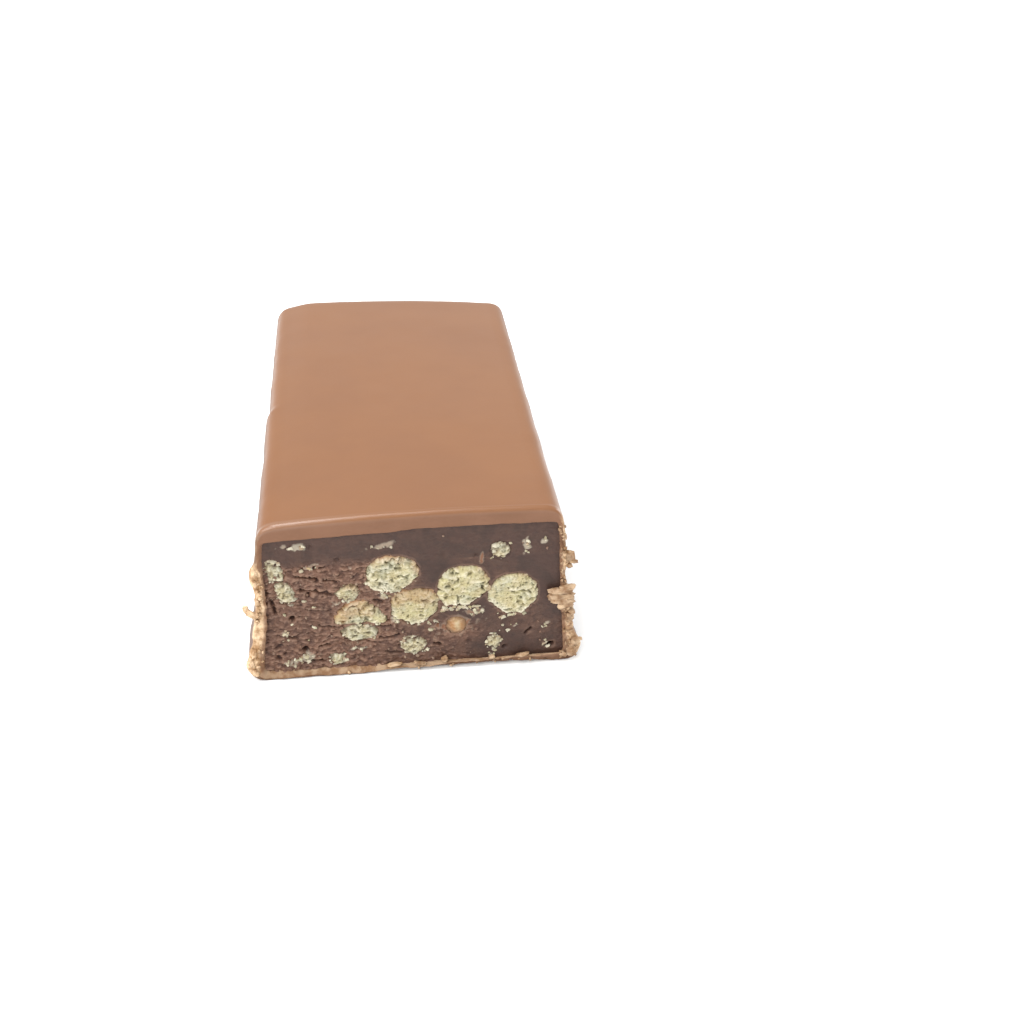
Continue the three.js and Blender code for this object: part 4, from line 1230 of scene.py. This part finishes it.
# The last layer darkens the pits, creases, inner line, base under its ridge and burst bubbles as painted
# shade, and gives the flakes their dark speckle.
colour = layered(tree, top_colour, [
    ("wall", 1.0, wall_colour), ("cut", 1.0, cut_colour), ("rim", 1.0, rim_colour), ("pit", 1.0, RIM_PIT_AND_SHADE)])
gloss = node(tree, "MapRange", (), {"Value": mask_value(tree, "wall"), "To Min": 0.32, "To Max": 0.55})
matt = node(tree, "MapRange", (), {"Value": mask_value(tree, "cut"), "To Min": 0.0, "To Max": 0.2})
tree.links.new(math_node(tree, "ADD", gloss.outputs["Result"], matt.outputs["Result"], clamp=True),
               shader.inputs["Roughness"])
shader.inputs["Specular IOR Level"].default_value = 0.12
shader.inputs["Coat Roughness"].default_value = 0.32
tree.links.new(mask_value(tree, "gloss"), shader.inputs["Coat Weight"])
dress([coating, rim_flakes], chocolate, shader, colour,
      grain_scale=2600.0, grain_height=0.00002, grain_strength=0.25)

# %% [markdown]
# The filling is a dark, dense mass with a weak sheen. Where it was smeared it is cooler and darker, and where
# it crumbled it is lighter and warmer, with dark red-brown painted shade in its hollows and a painted
# highlight on its crests. Its loose crumbs are paler, each by its own amount.

# %% Dark filling
SMEARED = rgb(58, 38, 31)
SMEARED_PATCH = rgb(48, 32, 26)
CRUMBLED = rgb(106, 75, 59)
CRUMBLED_PATCH = rgb(84, 57, 45)
RAISED_HIGHLIGHT_AND_PALE = rgb(138, 108, 89)
HOLLOW_SHADE = rgb(50, 28, 22)
SMEAR_PALE = rgb(160, 150, 132)
SMEAR_TAN = rgb(120, 80, 56)

dark, tree, shader = new_material("dark_chewy_filling")
smeared = patches(tree, SMEARED, SMEARED_PATCH, scale=700.0, sharpness=0.08)
crumbled = patches(tree, CRUMBLED, CRUMBLED_PATCH, scale=1300.0, sharpness=0.10)
scrap = blend(tree, mask_value(tree, "tan"), SMEAR_PALE, SMEAR_TAN)
# The raised layer is a painted highlight on the crests of the face, and the crumbs' own paler tone; the
# hollow layer is painted shade.
colour = layered(tree, smeared, [
    ("crumbly", 1.0, crumbled), ("raised", 0.55, RAISED_HIGHLIGHT_AND_PALE), ("hollow", 0.85, HOLLOW_SHADE), ("pale", 0.75, scrap)])
shader.inputs["Roughness"].default_value = 0.6
shader.inputs["Specular IOR Level"].default_value = 0.35
dress([filling, face_crumbs], dark, shader, colour,
      grain_scale=3800.0, grain_height=0.00005, grain_strength=0.6)

# %% [markdown]
# Puffed cereal foam is pale cream, with grey-green painted shade in its pores and whiter crests that are
# partly pale powder and partly a painted highlight, and its skin is toasted from tan to orange brown. Where
# it crumbled it is soiled by the filling, and its broken edge is darkened, partly by filling and partly as
# painted shade.

# %% Cereal foam
FOAM_YELLOW = rgb(178, 168, 122)
FOAM_GREY = rgb(160, 157, 136)
FOAM_PATCH = rgb(166, 154, 118)
PALE_AND_HIGHLIGHT = rgb(212, 204, 184)
PORE_SHADE = rgb(76, 72, 50)
TOASTED = rgb(152, 104, 64)
SOILED_AND_SHADE = rgb(100, 80, 64)

foam, tree, shader = new_material("puffed_cereal_foam")
colour = blend(tree, mask_value(tree, "yellow"), FOAM_GREY, FOAM_YELLOW)
colour = patches(tree, colour, FOAM_PATCH, scale=900.0, sharpness=0.06)
# The crest layer is partly pale powder and partly a painted highlight; the pore layer is painted shade.
colour = layered(tree, colour, [
    ("crest", 0.85, PALE_AND_HIGHLIGHT), ("pore", 0.9, PORE_SHADE), ("toast", 0.8, TOASTED), ("soil", 0.7, SOILED_AND_SHADE)])
shader.inputs["Roughness"].default_value = 0.85
shader.inputs["Specular IOR Level"].default_value = 0.3
dress([*crisp_pieces.values(), face_shards], foam, shader, colour,
      grain_scale=5200.0, grain_height=0.00006, grain_strength=0.6)

# %% [markdown]
# The stage is a wide white table under soft daylight. The world gives even light from all round. One large
# panel above the left shoulder lays a soft shadow to the right, a wider, weaker one in front keeps the cut
# face and the table before it bright, and a small one at the left draws the highlight along the lip. A low
# one at the right skims the long wall, so that its dimples show from that side. Places are in metres.

# %% Table
TABLE_HALF_WIDTH = 1.6
corners = np.array([(-1, -1, 0), (1, -1, 0), (1, 1, 0), (-1, 1, 0)]) * TABLE_HALF_WIDTH
table_mesh = bpy.data.meshes.new("table_top")
table_mesh.from_pydata(corners.tolist(), [], [(0, 1, 2, 3)])
table_top = bpy.data.objects.new("table_top", table_mesh)
bpy.context.scene.collection.objects.link(table_top)
white, tree, shader = new_material("white_table")
shader.inputs["Base Color"].default_value = (0.88, 0.885, 0.885, 1)
shader.inputs["Roughness"].default_value = 0.7
table_mesh.materials.append(white)
print("table:", 2 * TABLE_HALF_WIDTH, "m wide")

# %% Light
world = bpy.data.worlds.new("soft_daylight")
world.use_nodes = True
world.node_tree.nodes["Background"].inputs["Color"].default_value = (0.985, 1.0, 1.0, 1)
world.node_tree.nodes["Background"].inputs["Strength"].default_value = 1.05
bpy.context.scene.world = world

# name, place, width, height and power of each panel; each one faces the bar.
PANELS = [
    ("window_panel", (-0.12, 0.02, 0.52), 0.34, 0.26, 2.2),
    ("front_panel", (-0.32, -0.42, 0.42), 0.40, 0.34, 2.6),
    ("lip_panel", (-0.42, -0.06, 0.40), 0.10, 0.22, 0.8),
    ("side_panel", (0.44, 0.20, 0.12), 0.20, 0.16, 1.1),
]
for name, place, wide, high, power in PANELS:
    panel = bpy.data.lights.new(name, "AREA")
    panel.shape = "RECTANGLE"
    panel.size, panel.size_y = wide, high
    panel.energy = power
    light = bpy.data.objects.new(name, panel)
    turn = Vector(place).to_track_quat("Z", "Y").to_matrix().to_4x4()
    light.matrix_world = Matrix.Translation(place) @ turn
    bpy.context.scene.collection.objects.link(light)
    print(name, "at", place)

# %% [markdown]
# The camera stands in front and a little to the left, and looks down at the cut face. Its place and turn were
# worked out from the corners of the bar, so the picture has the same perspective.

# %% Camera
CAMERA_PLACE = (-0.0038, -0.13209, 0.08306)
AZIMUTH, ELEVATION, ROLL = (math.radians(angle) for angle in (7.266, 31.487, 0.80))
FOCAL_PIXELS, FRAME_PIXELS = 1300, 1024
SENSOR_WIDTH = 36.0
lens = bpy.data.cameras.new("photo_view")
lens.sensor_width = SENSOR_WIDTH
lens.lens = SENSOR_WIDTH * FOCAL_PIXELS / FRAME_PIXELS
lens.clip_start = 0.005
camera = bpy.data.objects.new("photo_view", lens)
camera.matrix_world = (
    Matrix.Translation(CAMERA_PLACE)
    @ Matrix.Rotation(-AZIMUTH, 4, "Z")
    @ Matrix.Rotation(math.pi / 2 - ELEVATION, 4, "X")
    @ Matrix.Rotation(ROLL, 4, "Z")
)
bpy.context.scene.collection.objects.link(camera)
bpy.context.scene.camera = camera
bpy.context.scene.view_settings.view_transform = "Standard"
print("focal length:", round(lens.lens, 2), "mm")
